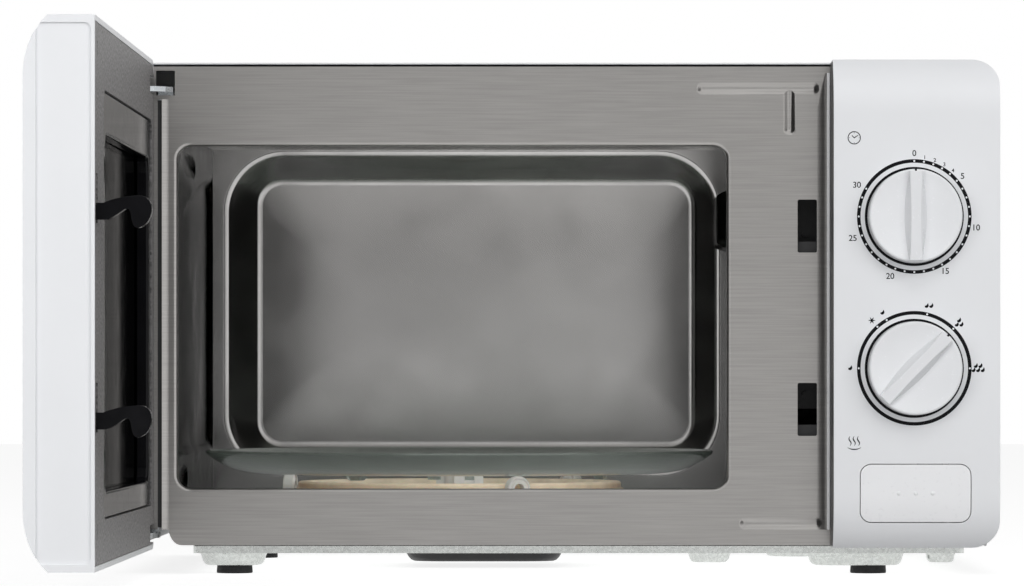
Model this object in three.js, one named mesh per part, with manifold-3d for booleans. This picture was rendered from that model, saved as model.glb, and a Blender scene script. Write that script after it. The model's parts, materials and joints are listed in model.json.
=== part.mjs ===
// A countertop microwave oven with its door standing open. Millimetres, +Z up, front towards -Y.
// The pieces are drawn in the oven's own frame: X = 0 in the middle of the cabinet, Y = 0 on the
// front plate's face, Z = 0 on the table. The door's pieces are drawn shut and swung open as a group.
import * as THREE from "three";
import { mergeVertices } from "three/addons/utils/BufferGeometryUtils.js";
import Module from "manifold-3d";

const wasm = await Module();
wasm.setup();

// ---- Clearances ----
const SEAT = 0.3; // between pieces that touch
const RUN = 0.4; // around pieces that turn or slide
const LIFT_ROOM = 1.2; // between a moving piece and what it only passes

// ---- Cabinet ----
const BODY_WIDTH = 440;
const BODY_DEPTH = 322; // front plate's face to the back of the wrap
const CABINET_TOP = 259;
const UNDERSIDE = 11; // bottom of the base pan
const SHEET = 0.8; // steel sheet
const WRAP_CORNER = 11;
const WRAP_BOTTOM = UNDERSIDE + 2;
const PAN_EDGE = 3.7; // height of the base pan's rim
const HEM = 10; // depth of folded edges
const REAR_INSET = 4; // rear panel inside the wrap's back edge
const VENT = { count: 7, width: 3, length: 34, pitch: 8 };
const LEFT = -BODY_WIDTH / 2;
const RIGHT = BODY_WIDTH / 2;

// ---- Control panel ----
const FASCIA_DEPTH = 33; // how far it stands out of the front plate
const FASCIA_WIDTH = 83.2;
const FASCIA_LEFT = RIGHT - FASCIA_WIDTH;
const FASCIA_BOTTOM = UNDERSIDE + 3.4;
const FASCIA_TOP = CABINET_TOP + 0.3;
const FASCIA_CORNER = 13.5;
const FACE_CURVE = { height: 28, depth: 11, bulge: 17.6 }; // how a face rolls back at an edge
const WALL = 2.5; // moulded plastic
const KNOB_X = RIGHT - 43;
const TIMER_Z = 180.25;
const POWER_Z = 104.4;
const POWER_REST = 44.6; // degrees clockwise of straight up, as the knob stands
const KNOB = { radius: 23.5, rim: 22.4, depth: 15, grip: 6.6, dish: 2.5 };
const SHAFT_R = 3;
const BUTTON = { x0: KNOB_X - 26.8, x1: KNOB_X + 28.2, z0: 27.5, z1: 56.3, corner: 5.4 };
const BUTTON_DEPTH = 12;

// ---- Front plate and oven cavity ----
const PLATE_BOTTOM = UNDERSIDE + 4;
const PLATE_TOP = CABINET_TOP - 2;
const PLATE_RIGHT = FASCIA_LEFT + 10.2; // runs on behind the control panel
const SLOT_X = FASCIA_LEFT - 11.8; // middle of the latch slots and hooks
const CAVITY_RIGHT = SLOT_X - 32; // inner faces of the cavity
const CAVITY_FLOOR = 36;
const CAVITY_CEILING = 227;
const MOUTH_RETURN = 10; // how far the plate laps over the cavity's right wall and ceiling
const MOUTH = {
  x0: LEFT + 26.6,
  x1: CAVITY_RIGHT - MOUTH_RETURN,
  z0: CAVITY_FLOOR + 9.4,
  z1: CAVITY_CEILING - MOUTH_RETURN,
  corner: 7,
}; // clear opening
const MOUTH_LIP = 5; // depth of the rolled lip around the opening
const CAVITY_DEPTH = 290; // to the back wall's flange
const DISH_DEPTH = 11; // the pressed back wall
const DISH_OUTER = {
  x0: MOUTH.x0 + 7.4,
  x1: CAVITY_RIGHT - 7,
  z0: CAVITY_FLOOR + 12,
  z1: CAVITY_CEILING - 2,
  corner: 31,
};
const DISH_INNER = {
  x0: DISH_OUTER.x0 + 15,
  x1: DISH_OUTER.x1 - 10.4,
  z0: DISH_OUTER.z0 + 13,
  z1: DISH_OUTER.z1 - 13,
  corner: 15,
};
const HINGE_SLOT = { x0: LEFT + 15.8, x1: LEFT + 25.3, z0: PLATE_TOP - 14.6, z1: PLATE_TOP - 2 };
const NOTCH = { x: LEFT + 18, z: PLATE_BOTTOM + 8, run: 10.4 }; // lower left corner cut away

// ---- Door ----
const DOOR_LEFT = LEFT;
const DOOR_RIGHT = FASCIA_LEFT - 0.3;
const DOOR_BOTTOM = UNDERSIDE + 2.5;
const DOOR_TOP = CABINET_TOP + 0.5;
const DOOR_GAP = 1.5; // shut door to front plate
const DOOR_THICK = FASCIA_DEPTH - 1.3;
const HINGE_X = DOOR_LEFT + 6;
const HINGE_Y = -10.7;
const CHOKE = {
  x0: DOOR_LEFT + 15.3,
  x1: CAVITY_RIGHT - 5.7,
  z0: CAVITY_FLOOR - 0.5,
  z1: CAVITY_CEILING + 2,
  corner: 8,
}; // hole in the inner panel
const INNER_WINDOW = grown(CHOKE, -12.5, 2.2, -1.8, 0, -7, 0);
const OUTER_WINDOW = grown(INNER_WINDOW, -4.5, 4.5, 3.5, -0.5, -5.5, 0);
const LATCH_HEIGHTS = [76.5, 169.2]; // undersides of the two hooks' arms
const HOOK = { x: SLOT_X, wide: 7, arm: 7.5, reach: 24.6, lift: 8 };
const HOOK_DROP = 3.5; // how far a hook's head reaches below its arm
const PLATE_SLOT = { below: 6.2, above: 20.6, half: 4.9 }; // latch slots around those heights
const DOOR_SLOT = { below: 1.3, above: 20.7, half: 5 };
const HINGE_ARM = { thick: 2.6, heights: [DOOR_BOTTOM + 5.3, DOOR_TOP - 15.5], bracket: 26 };
const ARM_WAYS = [
  [LEFT + 10.5, LEFT + 17.2],
  [HINGE_SLOT.x0 + 1, HINGE_SLOT.x1 - 0.8],
]; // where each arm passes the front plate
const PIN_R = 3;

// ---- Turntable ----
const TURN_X = (MOUTH.x0 + CAVITY_RIGHT) / 2 - 3.3;
const TURN_Y = 150;
const PLATE_R = 135;
const PLATE_GLASS = 5;
const PLATE_RIM = 12.4; // rim above the plate's underside
const TRACK_R = 92; // where the rollers run
const WHEEL_R = 6.25;
const WHEEL_WIDE = 6;
const WHEEL_ANGLES = [-70, 50, 170];
const RING = {
  inner: TRACK_R - 12,
  outer: TRACK_R - 4.5,
  z0: CAVITY_FLOOR + 3.6,
  z1: CAVITY_FLOOR + 9,
};

// ---- Rear and machine bay ----
const GLAND = { x: RIGHT - 28, z: UNDERSIDE + 23, hole: 8 }; // where the cord goes in
const FAN = { x: RIGHT - 64, z: 158, radius: 44, blades: 7 };

// ==== Geometry helpers ====
const ARC = 3; // straight stretches in a rounded corner
const DEGREE = Math.PI / 180;
const AXES = {
  x: new THREE.Matrix4().makeBasis(vec(0, 1, 0), vec(0, 0, 1), vec(1, 0, 0)),
  y: new THREE.Matrix4().makeBasis(vec(1, 0, 0), vec(0, 0, 1), vec(0, -1, 0)),
  z: new THREE.Matrix4(),
};

function vec(x, y, z) {
  return new THREE.Vector3(x, y, z);
}

function solid(geometry) {
  const bare = geometry.clone();
  for (const name of ["normal", "uv"]) bare.deleteAttribute(name);
  const merged = mergeVertices(bare, 1e-4);
  return new wasm.Manifold(
    new wasm.Mesh({
      numProp: 3,
      vertProperties: merged.attributes.position.array,
      triVerts: new Uint32Array(merged.index.array),
    }),
  );
}

function shapeOf(made) {
  const mesh = made.getMesh();
  return new THREE.BufferGeometry()
    .setAttribute("position", new THREE.BufferAttribute(new Float32Array(mesh.vertProperties), 3))
    .setIndex(new THREE.BufferAttribute(new Uint32Array(mesh.triVerts), 1));
}

function join(...geometries) {
  return shapeOf(geometries.map(solid).reduce((a, b) => a.add(b)));
}

function cut(from, ...tools) {
  return shapeOf(tools.map(solid).reduce((a, b) => a.subtract(b), solid(from)));
}

function common(a, b) {
  return shapeOf(solid(a).intersect(solid(b)));
}

function block(x0, x1, y0, y1, z0, z1) {
  return new THREE.BoxGeometry(x1 - x0, y1 - y0, z1 - z0).translate(
    (x0 + x1) / 2,
    (y0 + y1) / 2,
    (z0 + z1) / 2,
  );
}

// A flat outline pushed along an axis: (u, v) is (Y, Z) along x, (X, Z) along y, (X, Y) along z.
function push(shape, axis, from, to, curveSegments = ARC) {
  const made = new THREE.ExtrudeGeometry(shape, {
    depth: to - from,
    bevelEnabled: false,
    curveSegments,
  }).applyMatrix4(AXES[axis]);
  if (axis === "x") return made.translate(from, 0, 0);
  return axis === "y" ? made.translate(0, to, 0) : made.translate(0, 0, from);
}

function roundRect({ x0, x1, z0, z1, corner }, grow = 0) {
  const [l, r, b, t, c] = [x0 - grow, x1 + grow, z0 - grow, z1 + grow, corner + grow];
  const s = new THREE.Shape();
  s.moveTo(l + c, b).lineTo(r - c, b).absarc(r - c, b + c, c, -Math.PI / 2, 0);
  s.lineTo(r, t - c).absarc(r - c, t - c, c, 0, Math.PI / 2);
  s.lineTo(l + c, t).absarc(l + c, t - c, c, Math.PI / 2, Math.PI);
  s.lineTo(l, b + c).absarc(l + c, b + c, c, Math.PI, 1.5 * Math.PI);
  return s;
}

function rect(x0, x1, z0, z1, corner = 0) {
  if (corner) return roundRect({ x0, x1, z0, z1, corner });
  return new THREE.Shape([[x0, z0], [x1, z0], [x1, z1], [x0, z1]].map(([x, z]) => new THREE.Vector2(x, z)));
}

function outline(points) {
  return new THREE.Shape(points.map(([u, v]) => new THREE.Vector2(u, v)));
}

function ringShape(outer, inner) {
  const s = roundRect(outer);
  s.holes.push(new THREE.Path(roundRect(inner).getPoints(ARC).reverse()));
  return s;
}

// A rounded outline moved out on all sides, and then by its own amount on each.
function grown(box, by, left = 0, right = 0, bottom = 0, top = 0, rounder = by) {
  return {
    x0: box.x0 - by + left,
    x1: box.x1 + by + right,
    z0: box.z0 - by + bottom,
    z1: box.z1 + by + top,
    corner: box.corner + rounder,
  };
}

// A round bar along an axis, centred on (a, b) of the other two axes in X, Y, Z order.
function rod(axis, radius, a, b, from, to, sides = 16) {
  const made = new THREE.CylinderGeometry(radius, radius, to - from, sides);
  const middle = (from + to) / 2;
  if (axis === "x") return made.rotateZ(-Math.PI / 2).translate(middle, a, b);
  if (axis === "y") return made.translate(a, middle, b);
  return made.rotateX(Math.PI / 2).translate(a, b, middle);
}

// A turned piece: profile points are (radius, height), the axis is +Z.
function turned(profile, sides) {
  const points = profile.map(([r, h]) => new THREE.Vector2(r, h));
  return new THREE.LatheGeometry(points, sides).rotateX(Math.PI / 2);
}

// A closed loft between two rounded outlines, across the Y axis.
function pressed(front, yFront, back, yBack) {
  const rings = [front, back].map((r) => roundRect(r).getPoints(5));
  const count = rings[0].length - 1; // the last point repeats the first
  const spots = [];
  rings.forEach((ring, k) => {
    for (let i = 0; i < count; i++) spots.push(ring[i].x, k ? yBack : yFront, ring[i].y);
  });
  const faces = [];
  for (let i = 0; i < count; i++) {
    const j = (i + 1) % count;
    faces.push(i, j, count + j, i, count + j, count + i);
    if (i && i < count - 1) faces.push(0, i + 1, i, count, count + i, count + i + 1);
  }
  faces.reverse();
  return new THREE.BufferGeometry()
    .setAttribute("position", new THREE.Float32BufferAttribute(spots, 3))
    .setIndex(faces);
}

// A tapered box between two rectangles across the X axis, each [y0, y1, z0, z1].
function tapered(x0, [a0, a1, b0, b1], x1, [c0, c1, d0, d1]) {
  const g = new THREE.BoxGeometry(1, 1, 1);
  const at = g.attributes.position;
  for (let i = 0; i < at.count; i++) {
    const [far, up, over] = [at.getX(i) > 0, at.getZ(i) > 0, at.getY(i) > 0];
    const y = far ? (over ? c1 : c0) : over ? a1 : a0;
    const z = far ? (up ? d1 : d0) : up ? b1 : b0;
    at.setXYZ(i, far ? x1 : x0, y, z);
  }
  return g;
}

// ==== Finishes ====
function finish(color, roughness, metalness = 0, opacity = 1) {
  return new THREE.MeshStandardMaterial({
    color,
    roughness,
    metalness,
    opacity,
    transparent: opacity < 1,
    flatShading: true,
  });
}
const FINISH = {
  white: finish(0xe2e4e8, 0.35),
  whitePaint: finish(0xdedfe3, 0.4, 0.2),
  brushed: finish(0xa8a29c, 0.35, 0.9),
  cavity: finish(0x8f8d8c, 0.3, 0.9),
  galvanised: finish(0xaab2ac, 0.5, 0.8),
  greyPaint: finish(0x6e6c6c, 0.6, 0.3),
  glossBlack: finish(0x141416, 0.15),
  black: finish(0x1a1a1b, 0.5),
  rubber: finish(0x161616, 0.85),
  glass: finish(0x9fb0a4, 0.08, 0, 0.4),
  smoked: finish(0x101214, 0.05, 0, 0.6),
  amber: finish(0xab967f, 0.4, 0, 0.8),
  nylon: finish(0xe4e0da, 0.45),
  mica: finish(0x9a9694, 0.45, 0.4),
  copper: finish(0xa85c36, 0.45, 0.6),
  iron: finish(0x3c3e42, 0.6, 0.7),
  aluminium: finish(0xb7babd, 0.4, 0.9),
  zinc: finish(0xc9cdd0, 0.35, 0.9),
};

const oven = new THREE.Group();
const doorSwing = new THREE.Group(); // its origin is the hinge line
doorSwing.position.set(HINGE_X, HINGE_Y, 0);
doorSwing.rotation.z = -Math.PI / 2; // open at a right angle
oven.add(doorSwing);

function place(name, geometry, material, group = oven) {
  const mesh = new THREE.Mesh(geometry, material);
  mesh.name = name;
  group.add(mesh);
  return mesh;
}

function placeOnDoor(name, geometry, material) {
  place(name, geometry, material, doorSwing).position.set(-HINGE_X, -HINGE_Y, 0);
}

// ==== Cabinet ====
const INSIDE_LEFT = LEFT + SHEET + SEAT; // what the wrap encloses
const INSIDE_RIGHT = RIGHT - SHEET - SEAT;
const PAN_TOP = UNDERSIDE + PAN_EDGE;
const PAN_FLOOR = UNDERSIDE + 1;
const REAR_FACE = BODY_DEPTH - REAR_INSET; // outside of the rear panel
const BAY_LEFT = CAVITY_RIGHT + SHEET; // machine bay side of the cavity wall

// Rows of louvre slots through a side or the rear, from low to high.
function slots(axis, from, to, start, z, rows = 1) {
  const made = [];
  for (let row = 0; row < rows; row++) {
    for (let i = 0; i < VENT.count; i++) {
      const a = start + i * VENT.pitch;
      const b = z + row * (VENT.length + VENT.pitch);
      made.push(push(rect(a, a + VENT.width, b, b + VENT.length), axis, from, to));
    }
  }
  return made;
}

function wrap() {
  const outer = new THREE.Shape();
  const top = CABINET_TOP;
  const arc = (r, inset) => {
    outer.absarc(RIGHT - inset - r, top - inset - r, r, 0, Math.PI / 2);
    outer.absarc(LEFT + inset + r, top - inset - r, r, Math.PI / 2, Math.PI);
  };
  outer.moveTo(RIGHT, WRAP_BOTTOM);
  arc(WRAP_CORNER, 0);
  outer.lineTo(LEFT, WRAP_BOTTOM).lineTo(LEFT + SHEET, WRAP_BOTTOM);
  const r = WRAP_CORNER - SHEET;
  outer.absarc(LEFT + SHEET + r, top - SHEET - r, r, Math.PI, Math.PI / 2, true);
  outer.absarc(RIGHT - SHEET - r, top - SHEET - r, r, Math.PI / 2, 0, true);
  outer.lineTo(RIGHT - SHEET, WRAP_BOTTOM);
  const shell = push(outer, "y", SHEET + SEAT, BODY_DEPTH, 6);
  const sideVents = slots("x", RIGHT - 2, RIGHT + 1, BODY_DEPTH - 122, 150);
  const leftVents = slots("x", LEFT - 1, LEFT + 2, BODY_DEPTH - 122, 150);
  return cut(shell, ...sideVents, ...leftVents);
}
place("outer_cabinet", wrap(), FINISH.whitePaint);

// A rib pressed out of the front plate, [x0, x1, z0, z1].
function rib([x0, x1, z0, z1]) {
  return push(rect(x0, x1, z0, z1, 2.9), "y", -1, SHEET / 2);
}

function frontPlate() {
  const edge = outline([
    [INSIDE_LEFT, PLATE_TOP],
    [INSIDE_LEFT, NOTCH.z],
    [NOTCH.x, NOTCH.z],
    [NOTCH.x + NOTCH.run / 2, NOTCH.z - 3],
    [NOTCH.x + NOTCH.run, PLATE_BOTTOM],
    [PLATE_RIGHT, PLATE_BOTTOM],
    [PLATE_RIGHT, PLATE_TOP],
  ]);
  const mouth = new THREE.Path(roundRect(MOUTH).getPoints(ARC).reverse());
  edge.holes.push(mouth);
  for (const z of LATCH_HEIGHTS) {
    const { below, above, half } = PLATE_SLOT;
    edge.holes.push(rect(SLOT_X - half, SLOT_X + half, z - below, z + above));
  }
  edge.holes.push(rect(HINGE_SLOT.x0, HINGE_SLOT.x1, HINGE_SLOT.z0, HINGE_SLOT.z1));
  const sheet = push(edge, "y", 0, SHEET);
  const lip = push(ringShape(grown(MOUTH, SHEET), MOUTH), "y", SHEET / 2, MOUTH_LIP);
  const topFold = block(INSIDE_LEFT + 12, PLATE_RIGHT, 0.4, HEM, PLATE_TOP - SHEET, PLATE_TOP);
  const sideFold = block(INSIDE_LEFT, INSIDE_LEFT + SHEET, 0.4, HEM, NOTCH.z + 2, PLATE_TOP - 12);
  const foot = block(NOTCH.x + NOTCH.run + 1, PLATE_RIGHT, 0.4, HEM, PLATE_BOTTOM, PLATE_BOTTOM + SHEET);
  const ribs = [
    [SLOT_X - 56, SLOT_X + 6, PLATE_TOP - 14, PLATE_TOP - 8],
    [SLOT_X - 12, SLOT_X - 6, PLATE_TOP - 34.4, PLATE_TOP - 13.6],
    [SLOT_X - 34.5, SLOT_X + 7.4, PLATE_BOTTOM + 8, PLATE_BOTTOM + 14],
  ].map(rib);
  return join(sheet, lip, topFold, sideFold, foot, ...ribs);
}
place("front_plate", frontPlate(), FINISH.brushed);

// ==== Cavity ====
const GUIDE_COVER = { y0: 130, y1: 230, z0: 166, z1: 202, depth: 9.7, slope: 12, slopeZ: 6 };
const CAVITY_LEFT = MOUTH.x0; // inner face of the left wall
const CAVITY_START = SHEET + SEAT; // behind the front plate
const CAVITY_END = CAVITY_DEPTH - SEAT;

function cavityFloor() {
  const floor = block(
    CAVITY_LEFT - SHEET,
    CAVITY_RIGHT + SHEET,
    CAVITY_START,
    CAVITY_END,
    CAVITY_FLOOR - SHEET,
    CAVITY_FLOOR,
  );
  return cut(floor, rod("z", SHAFT_R + 1.5, TURN_X, TURN_Y, CAVITY_FLOOR - 3, CAVITY_FLOOR + 3));
}
place("cavity_floor", cavityFloor(), FINISH.cavity);

place(
  "cavity_ceiling",
  block(
    CAVITY_LEFT - SHEET,
    CAVITY_RIGHT + SHEET,
    CAVITY_START,
    CAVITY_END,
    CAVITY_CEILING,
    CAVITY_CEILING + SHEET,
  ),
  FINISH.cavity,
);
const WALL_Z0 = CAVITY_FLOOR + SEAT;
const WALL_Z1 = CAVITY_CEILING - SEAT;
place(
  "cavity_left_wall",
  block(CAVITY_LEFT - SHEET, CAVITY_LEFT, MOUTH_LIP + SEAT, CAVITY_END, WALL_Z0, WALL_Z1),
  FINISH.cavity,
);

function cavityRightWall() {
  const wall = block(CAVITY_RIGHT, BAY_LEFT, CAVITY_START, CAVITY_END, WALL_Z0, WALL_Z1);
  const { y0, y1, z0, z1, slope } = GUIDE_COVER; // the microwaves come in behind this cover
  const port = block(CAVITY_RIGHT - 1, BAY_LEFT + 1, y0 + slope, y1 - slope, z0 + 8, z1 - 8);
  return cut(wall, port);
}
place("cavity_right_wall", cavityRightWall(), FINISH.cavity);

function backWall() {
  const y = CAVITY_DEPTH;
  const flange = block(
    CAVITY_LEFT - SHEET,
    CAVITY_RIGHT + SHEET,
    y,
    y + SHEET,
    CAVITY_FLOOR - SHEET,
    CAVITY_CEILING + SHEET,
  );
  const dish = pressed(DISH_OUTER, y + SHEET / 2, DISH_INNER, y + SHEET + DISH_DEPTH);
  const hollow = pressed(DISH_OUTER, y - SHEET / 2, DISH_INNER, y + DISH_DEPTH);
  return cut(join(flange, dish), hollow);
}
place("cavity_back_wall", backWall(), FINISH.cavity);

function waveguideCover() {
  const c = GUIDE_COVER;
  const x = CAVITY_RIGHT - SEAT;
  return tapered(
    x - c.depth,
    [c.y0 + c.slope, c.y1 - c.slope, c.z0 + c.slopeZ, c.z1 - c.slopeZ],
    x,
    [c.y0, c.y1, c.z0, c.z1],
  );
}
place("waveguide_cover", waveguideCover(), FINISH.mica);

// ==== Base pan, feet and rear panel ====
const FOOT_LEFT = LEFT + 53.7;
const FOOT_RIGHT = RIGHT - 62.5;
const FOOT_FRONT = 32;
const FOOT_REAR = BODY_DEPTH - 40;
const FEET = [
  ["front_left", FOOT_LEFT, FOOT_FRONT],
  ["front_right", FOOT_RIGHT, FOOT_FRONT],
  ["rear_left", FOOT_LEFT, FOOT_REAR],
  ["rear_right", FOOT_RIGHT, FOOT_REAR],
];
const FOOT_R = 9.8;
const STUD_R = 2.1; // each foot's stud through the pan
const PAD = { depth: 5, taper: 5 };
const FOOT_PAD = { left: [-19.7, 18.8], right: [-33.5, 20.5], ahead: 19 }; // around the foot
const DIMPLES = [[RIGHT - 155, RIGHT - 133], [RIGHT - 31, RIGHT - 16]];
const PAN_FRONT = 0.4;

// A pressed pad in the pan: a shallow cup with sloping sides, open at the top.
function padPair(x0, x1, y0, y1) {
  const t = PAD.taper;
  const bottom = UNDERSIDE - PAD.depth;
  const cup = (inset, low, high) =>
    tapered(
      low,
      [y0 + t + inset, y1 - t - inset, x0 + t + inset, x1 - t - inset],
      high,
      [y0 + inset, y1 - inset, x0 + inset, x1 - inset],
    )
      .rotateY(-Math.PI / 2)
      .scale(-1, 1, 1);
  return [cup(0, bottom, UNDERSIDE + 0.5), cup(1, bottom + 1, PAN_FLOOR + 0.01)].map(turnedOut);
}

// Puts a mirrored solid's faces the right way round again.
function turnedOut(geometry) {
  const made = geometry.toNonIndexed();
  const at = made.attributes.position.array;
  for (let i = 0; i < at.length; i += 9) {
    for (let k = 0; k < 3; k++) [at[i + 3 + k], at[i + 6 + k]] = [at[i + 6 + k], at[i + 3 + k]];
  }
  return made;
}

function basePan() {
  const pan = block(INSIDE_LEFT, INSIDE_RIGHT, PAN_FRONT, REAR_FACE - SHEET - SEAT, UNDERSIDE, PAN_TOP);
  const well = block(
    INSIDE_LEFT + 1,
    INSIDE_RIGHT - 1,
    PAN_FRONT + 1,
    REAR_FACE - SHEET - SEAT - 1,
    PAN_FLOOR,
    PAN_TOP + 1,
  );
  const spots = FEET.map(([, x, y]) => {
    const [less, more] = x === FOOT_LEFT ? FOOT_PAD.left : FOOT_PAD.right;
    return [x + less, x + more, y - FOOT_PAD.ahead, y + FOOT_PAD.ahead];
  });
  for (const [x0, x1] of DIMPLES) spots.push([x0, x1, 8, 30]);
  const pads = spots.map((s) => padPair(...s));
  const holes = FEET.map(([, x, y]) => rod("z", STUD_R + SEAT, x, y, 0, UNDERSIDE));
  const motorHatch = rod("z", 22, TURN_X, TURN_Y, UNDERSIDE - 1, PAN_FLOOR + 1, 24);
  const joined = join(pan, ...pads.map(([outer]) => outer));
  return cut(joined, well, ...pads.map(([, inner]) => inner), ...holes, motorHatch);
}
place("base_pan", basePan(), FINISH.galvanised);

for (const [name, x, y] of FEET) {
  const top = UNDERSIDE - PAD.depth - SEAT;
  const well = 2.2;
  const profile = [
    [0, well],
    [4.6, well],
    [4.6, 0],
    [FOOT_R - 0.8, 0],
    [FOOT_R, 1],
    [FOOT_R - 0.6, top],
    [STUD_R, top],
    [STUD_R, top + 3.5],
    [0, top + 3.5],
  ];
  place(`foot_${name}`, turned(profile, 14).translate(x, y, 0), FINISH.rubber);
}

const MOTOR_COVER = { x0: TURN_X - 26.5, x1: TURN_X + 54.5, y0: TURN_Y - 40, y1: TURN_Y + 40, deep: 7.7 };
function motorCover() {
  const { x0, x1, y0, y1, deep } = MOTOR_COVER;
  const top = UNDERSIDE - SEAT;
  return push(rect(x0, x1, y0, y1, 12), "z", top - deep, top);
}
place("motor_cover", motorCover(), FINISH.black);

function rearPanel() {
  const y0 = REAR_FACE - SHEET;
  const [z0, z1] = [WRAP_BOTTOM, CABINET_TOP - SHEET - SEAT];
  const outlineZ = { x0: INSIDE_LEFT, x1: INSIDE_RIGHT, z0, z1, corner: WRAP_CORNER };
  const sheet = push(roundRect(outlineZ), "y", y0, REAR_FACE);
  const gland = rod("y", GLAND.hole, GLAND.x, GLAND.z, y0 - 1, REAR_FACE + 1, 16);
  const start = FAN.x - ((VENT.count - 1) * VENT.pitch + VENT.width) / 2;
  const fanVents = slots("y", y0 - 1, REAR_FACE + 1, start, FAN.z - VENT.length - 4, 2);
  const exhaust = slots("y", y0 - 1, REAR_FACE + 1, LEFT + 50, 180);
  return cut(sheet, gland, ...fanVents, ...exhaust);
}
place("rear_panel", rearPanel(), FINISH.galvanised);

function cordGland() {
  const y = REAR_FACE;
  const bore = 3.8;
  const profile = [
    [bore, -8],
    [GLAND.hole - SEAT, -8],
    [GLAND.hole - SEAT, SEAT],
    [GLAND.hole + 3, SEAT],
    [GLAND.hole + 3, 3],
    [bore + 2, 3.6],
    [bore, 3.6],
    [bore, -8],
  ];
  return turned(profile, 20).rotateX(-Math.PI / 2).translate(GLAND.x, y, GLAND.z);
}
place("cord_gland", cordGland(), FINISH.black);

// ==== Control panel ====
// A side profile whose front face rolls back at the top and bottom edges, (Y, Z).
function rolledProfile(face, back, bottom, top, inset = 0) {
  const { height, depth, bulge } = FACE_CURVE;
  const [f, b, low, high] = [face + inset, back, bottom + inset, top - inset];
  const s = new THREE.Shape();
  s.moveTo(b, low).lineTo(b, high).lineTo(f + depth, high);
  s.quadraticCurveTo(f, high - height + bulge, f, high - height);
  s.lineTo(f, low + height);
  s.quadraticCurveTo(f, low + height - bulge, f + depth, low).lineTo(b, low);
  return s;
}

const FASCIA_FACE = -FASCIA_DEPTH;
const FASCIA_INNER = FASCIA_FACE + WALL;
const BUTTON_GUIDE = -18; // back of the sleeve that guides the button

// The panel's body between two X planes, drawn in from its outer faces by an inset.
function fasciaSlab(x0, x1, inset, back) {
  const profile = rolledProfile(FASCIA_FACE, back, FASCIA_BOTTOM, FASCIA_TOP, inset);
  return push(profile, "x", x0, x1, 5);
}

function controlPanel() {
  const body = (inset, back) => {
    const c = FASCIA_CORNER - inset;
    const front = new THREE.Shape();
    const [x0, x1] = [FASCIA_LEFT - 1, RIGHT - inset];
    const [z0, z1] = [FASCIA_BOTTOM + inset, FASCIA_TOP - inset];
    front.moveTo(x0, z0).lineTo(x1 - c, z0).absarc(x1 - c, z0 + c, c, -Math.PI / 2, 0);
    front.absarc(x1 - c, z1 - c, c, 0, Math.PI / 2).lineTo(x0, z1);
    const slab = fasciaSlab(FASCIA_LEFT + inset, RIGHT - inset, inset, back);
    return common(slab, push(front, "y", FASCIA_FACE - 1, back + 1, 4));
  };
  const holes = [TIMER_Z, POWER_Z].map((z) =>
    rod("y", SHAFT_R + RUN, KNOB_X, z, FASCIA_FACE - 1, FASCIA_INNER + 1),
  );
  const shell = cut(body(0, -SEAT), body(WALL, SEAT), ...holes);
  const sleeve = push(roundRect(BUTTON, RUN + 1.6), "y", FASCIA_FACE, BUTTON_GUIDE);
  const guide = common(sleeve, fasciaSlab(BUTTON.x0 - 9, BUTTON.x1 + 9, 0, 0));
  const window = push(roundRect(BUTTON, RUN), "y", FASCIA_FACE - 1, BUTTON_GUIDE + 1);
  return cut(join(shell, guide), window);
}

place("control_panel", controlPanel(), FINISH.white);

const CONTROL_BACK = 24; // back of the timer and the power selector
const HOOK_REST = LATCH_HEIGHTS[0] - HOOK_DROP; // underside of the lower hook's head

// ---- Knobs: a turned skirt and a grip bar across the face, on a shaft ----
const KNOB_BASE = FASCIA_FACE - LIFT_ROOM; // back of the knob, clear of the panel
const SHAFT_TIP = KNOB_BASE - 9;

function knob() {
  const { radius, rim, depth, grip, dish } = KNOB;
  const bore = SHAFT_R + SEAT;
  const socket = LIFT_ROOM + 8.5;
  const profile = [
    [bore, 0],
    [radius, 0],
    [radius, 2.5],
    [rim, depth - 4.5],
    [rim - 1.6, depth - 3],
    [rim - 5, depth - 3 - dish * 0.6],
    [0, depth - 3 - dish],
    [0, socket],
    [bore, socket],
    [bore, 0],
  ];
  const skirt = turned(profile, 32);
  const bar = new THREE.Shape();
  bar.moveTo(-grip / 2, -rim + 1).quadraticCurveTo(-grip * 0.72, 0, -grip / 2, rim - 1);
  bar.lineTo(grip / 2, rim - 1).quadraticCurveTo(grip * 0.28, 0, grip / 2, -rim + 1);
  const blade = push(bar, "z", socket - 1, depth);
  return join(skirt, blade).rotateX(Math.PI / 2);
}

function placeKnob(name, z, turn) {
  const head = place(`${name}_knob`, knob(), FINISH.white);
  head.position.set(KNOB_X, KNOB_BASE, z);
  head.rotation.y = turn * DEGREE;
  const shaft = rod("y", SHAFT_R, KNOB_X, z, SHAFT_TIP + SEAT + 0.2, CONTROL_BACK - 12, 16);
  const flat = block(KNOB_X - 4, KNOB_X + 4, SHAFT_TIP - 1, KNOB_BASE + 0.5, z + 2, z + 5);
  place(`${name}_shaft`, cut(shaft, flat), FINISH.nylon);
}
placeKnob("timer", TIMER_Z, 0);
placeKnob("power", POWER_Z, POWER_REST);

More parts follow.
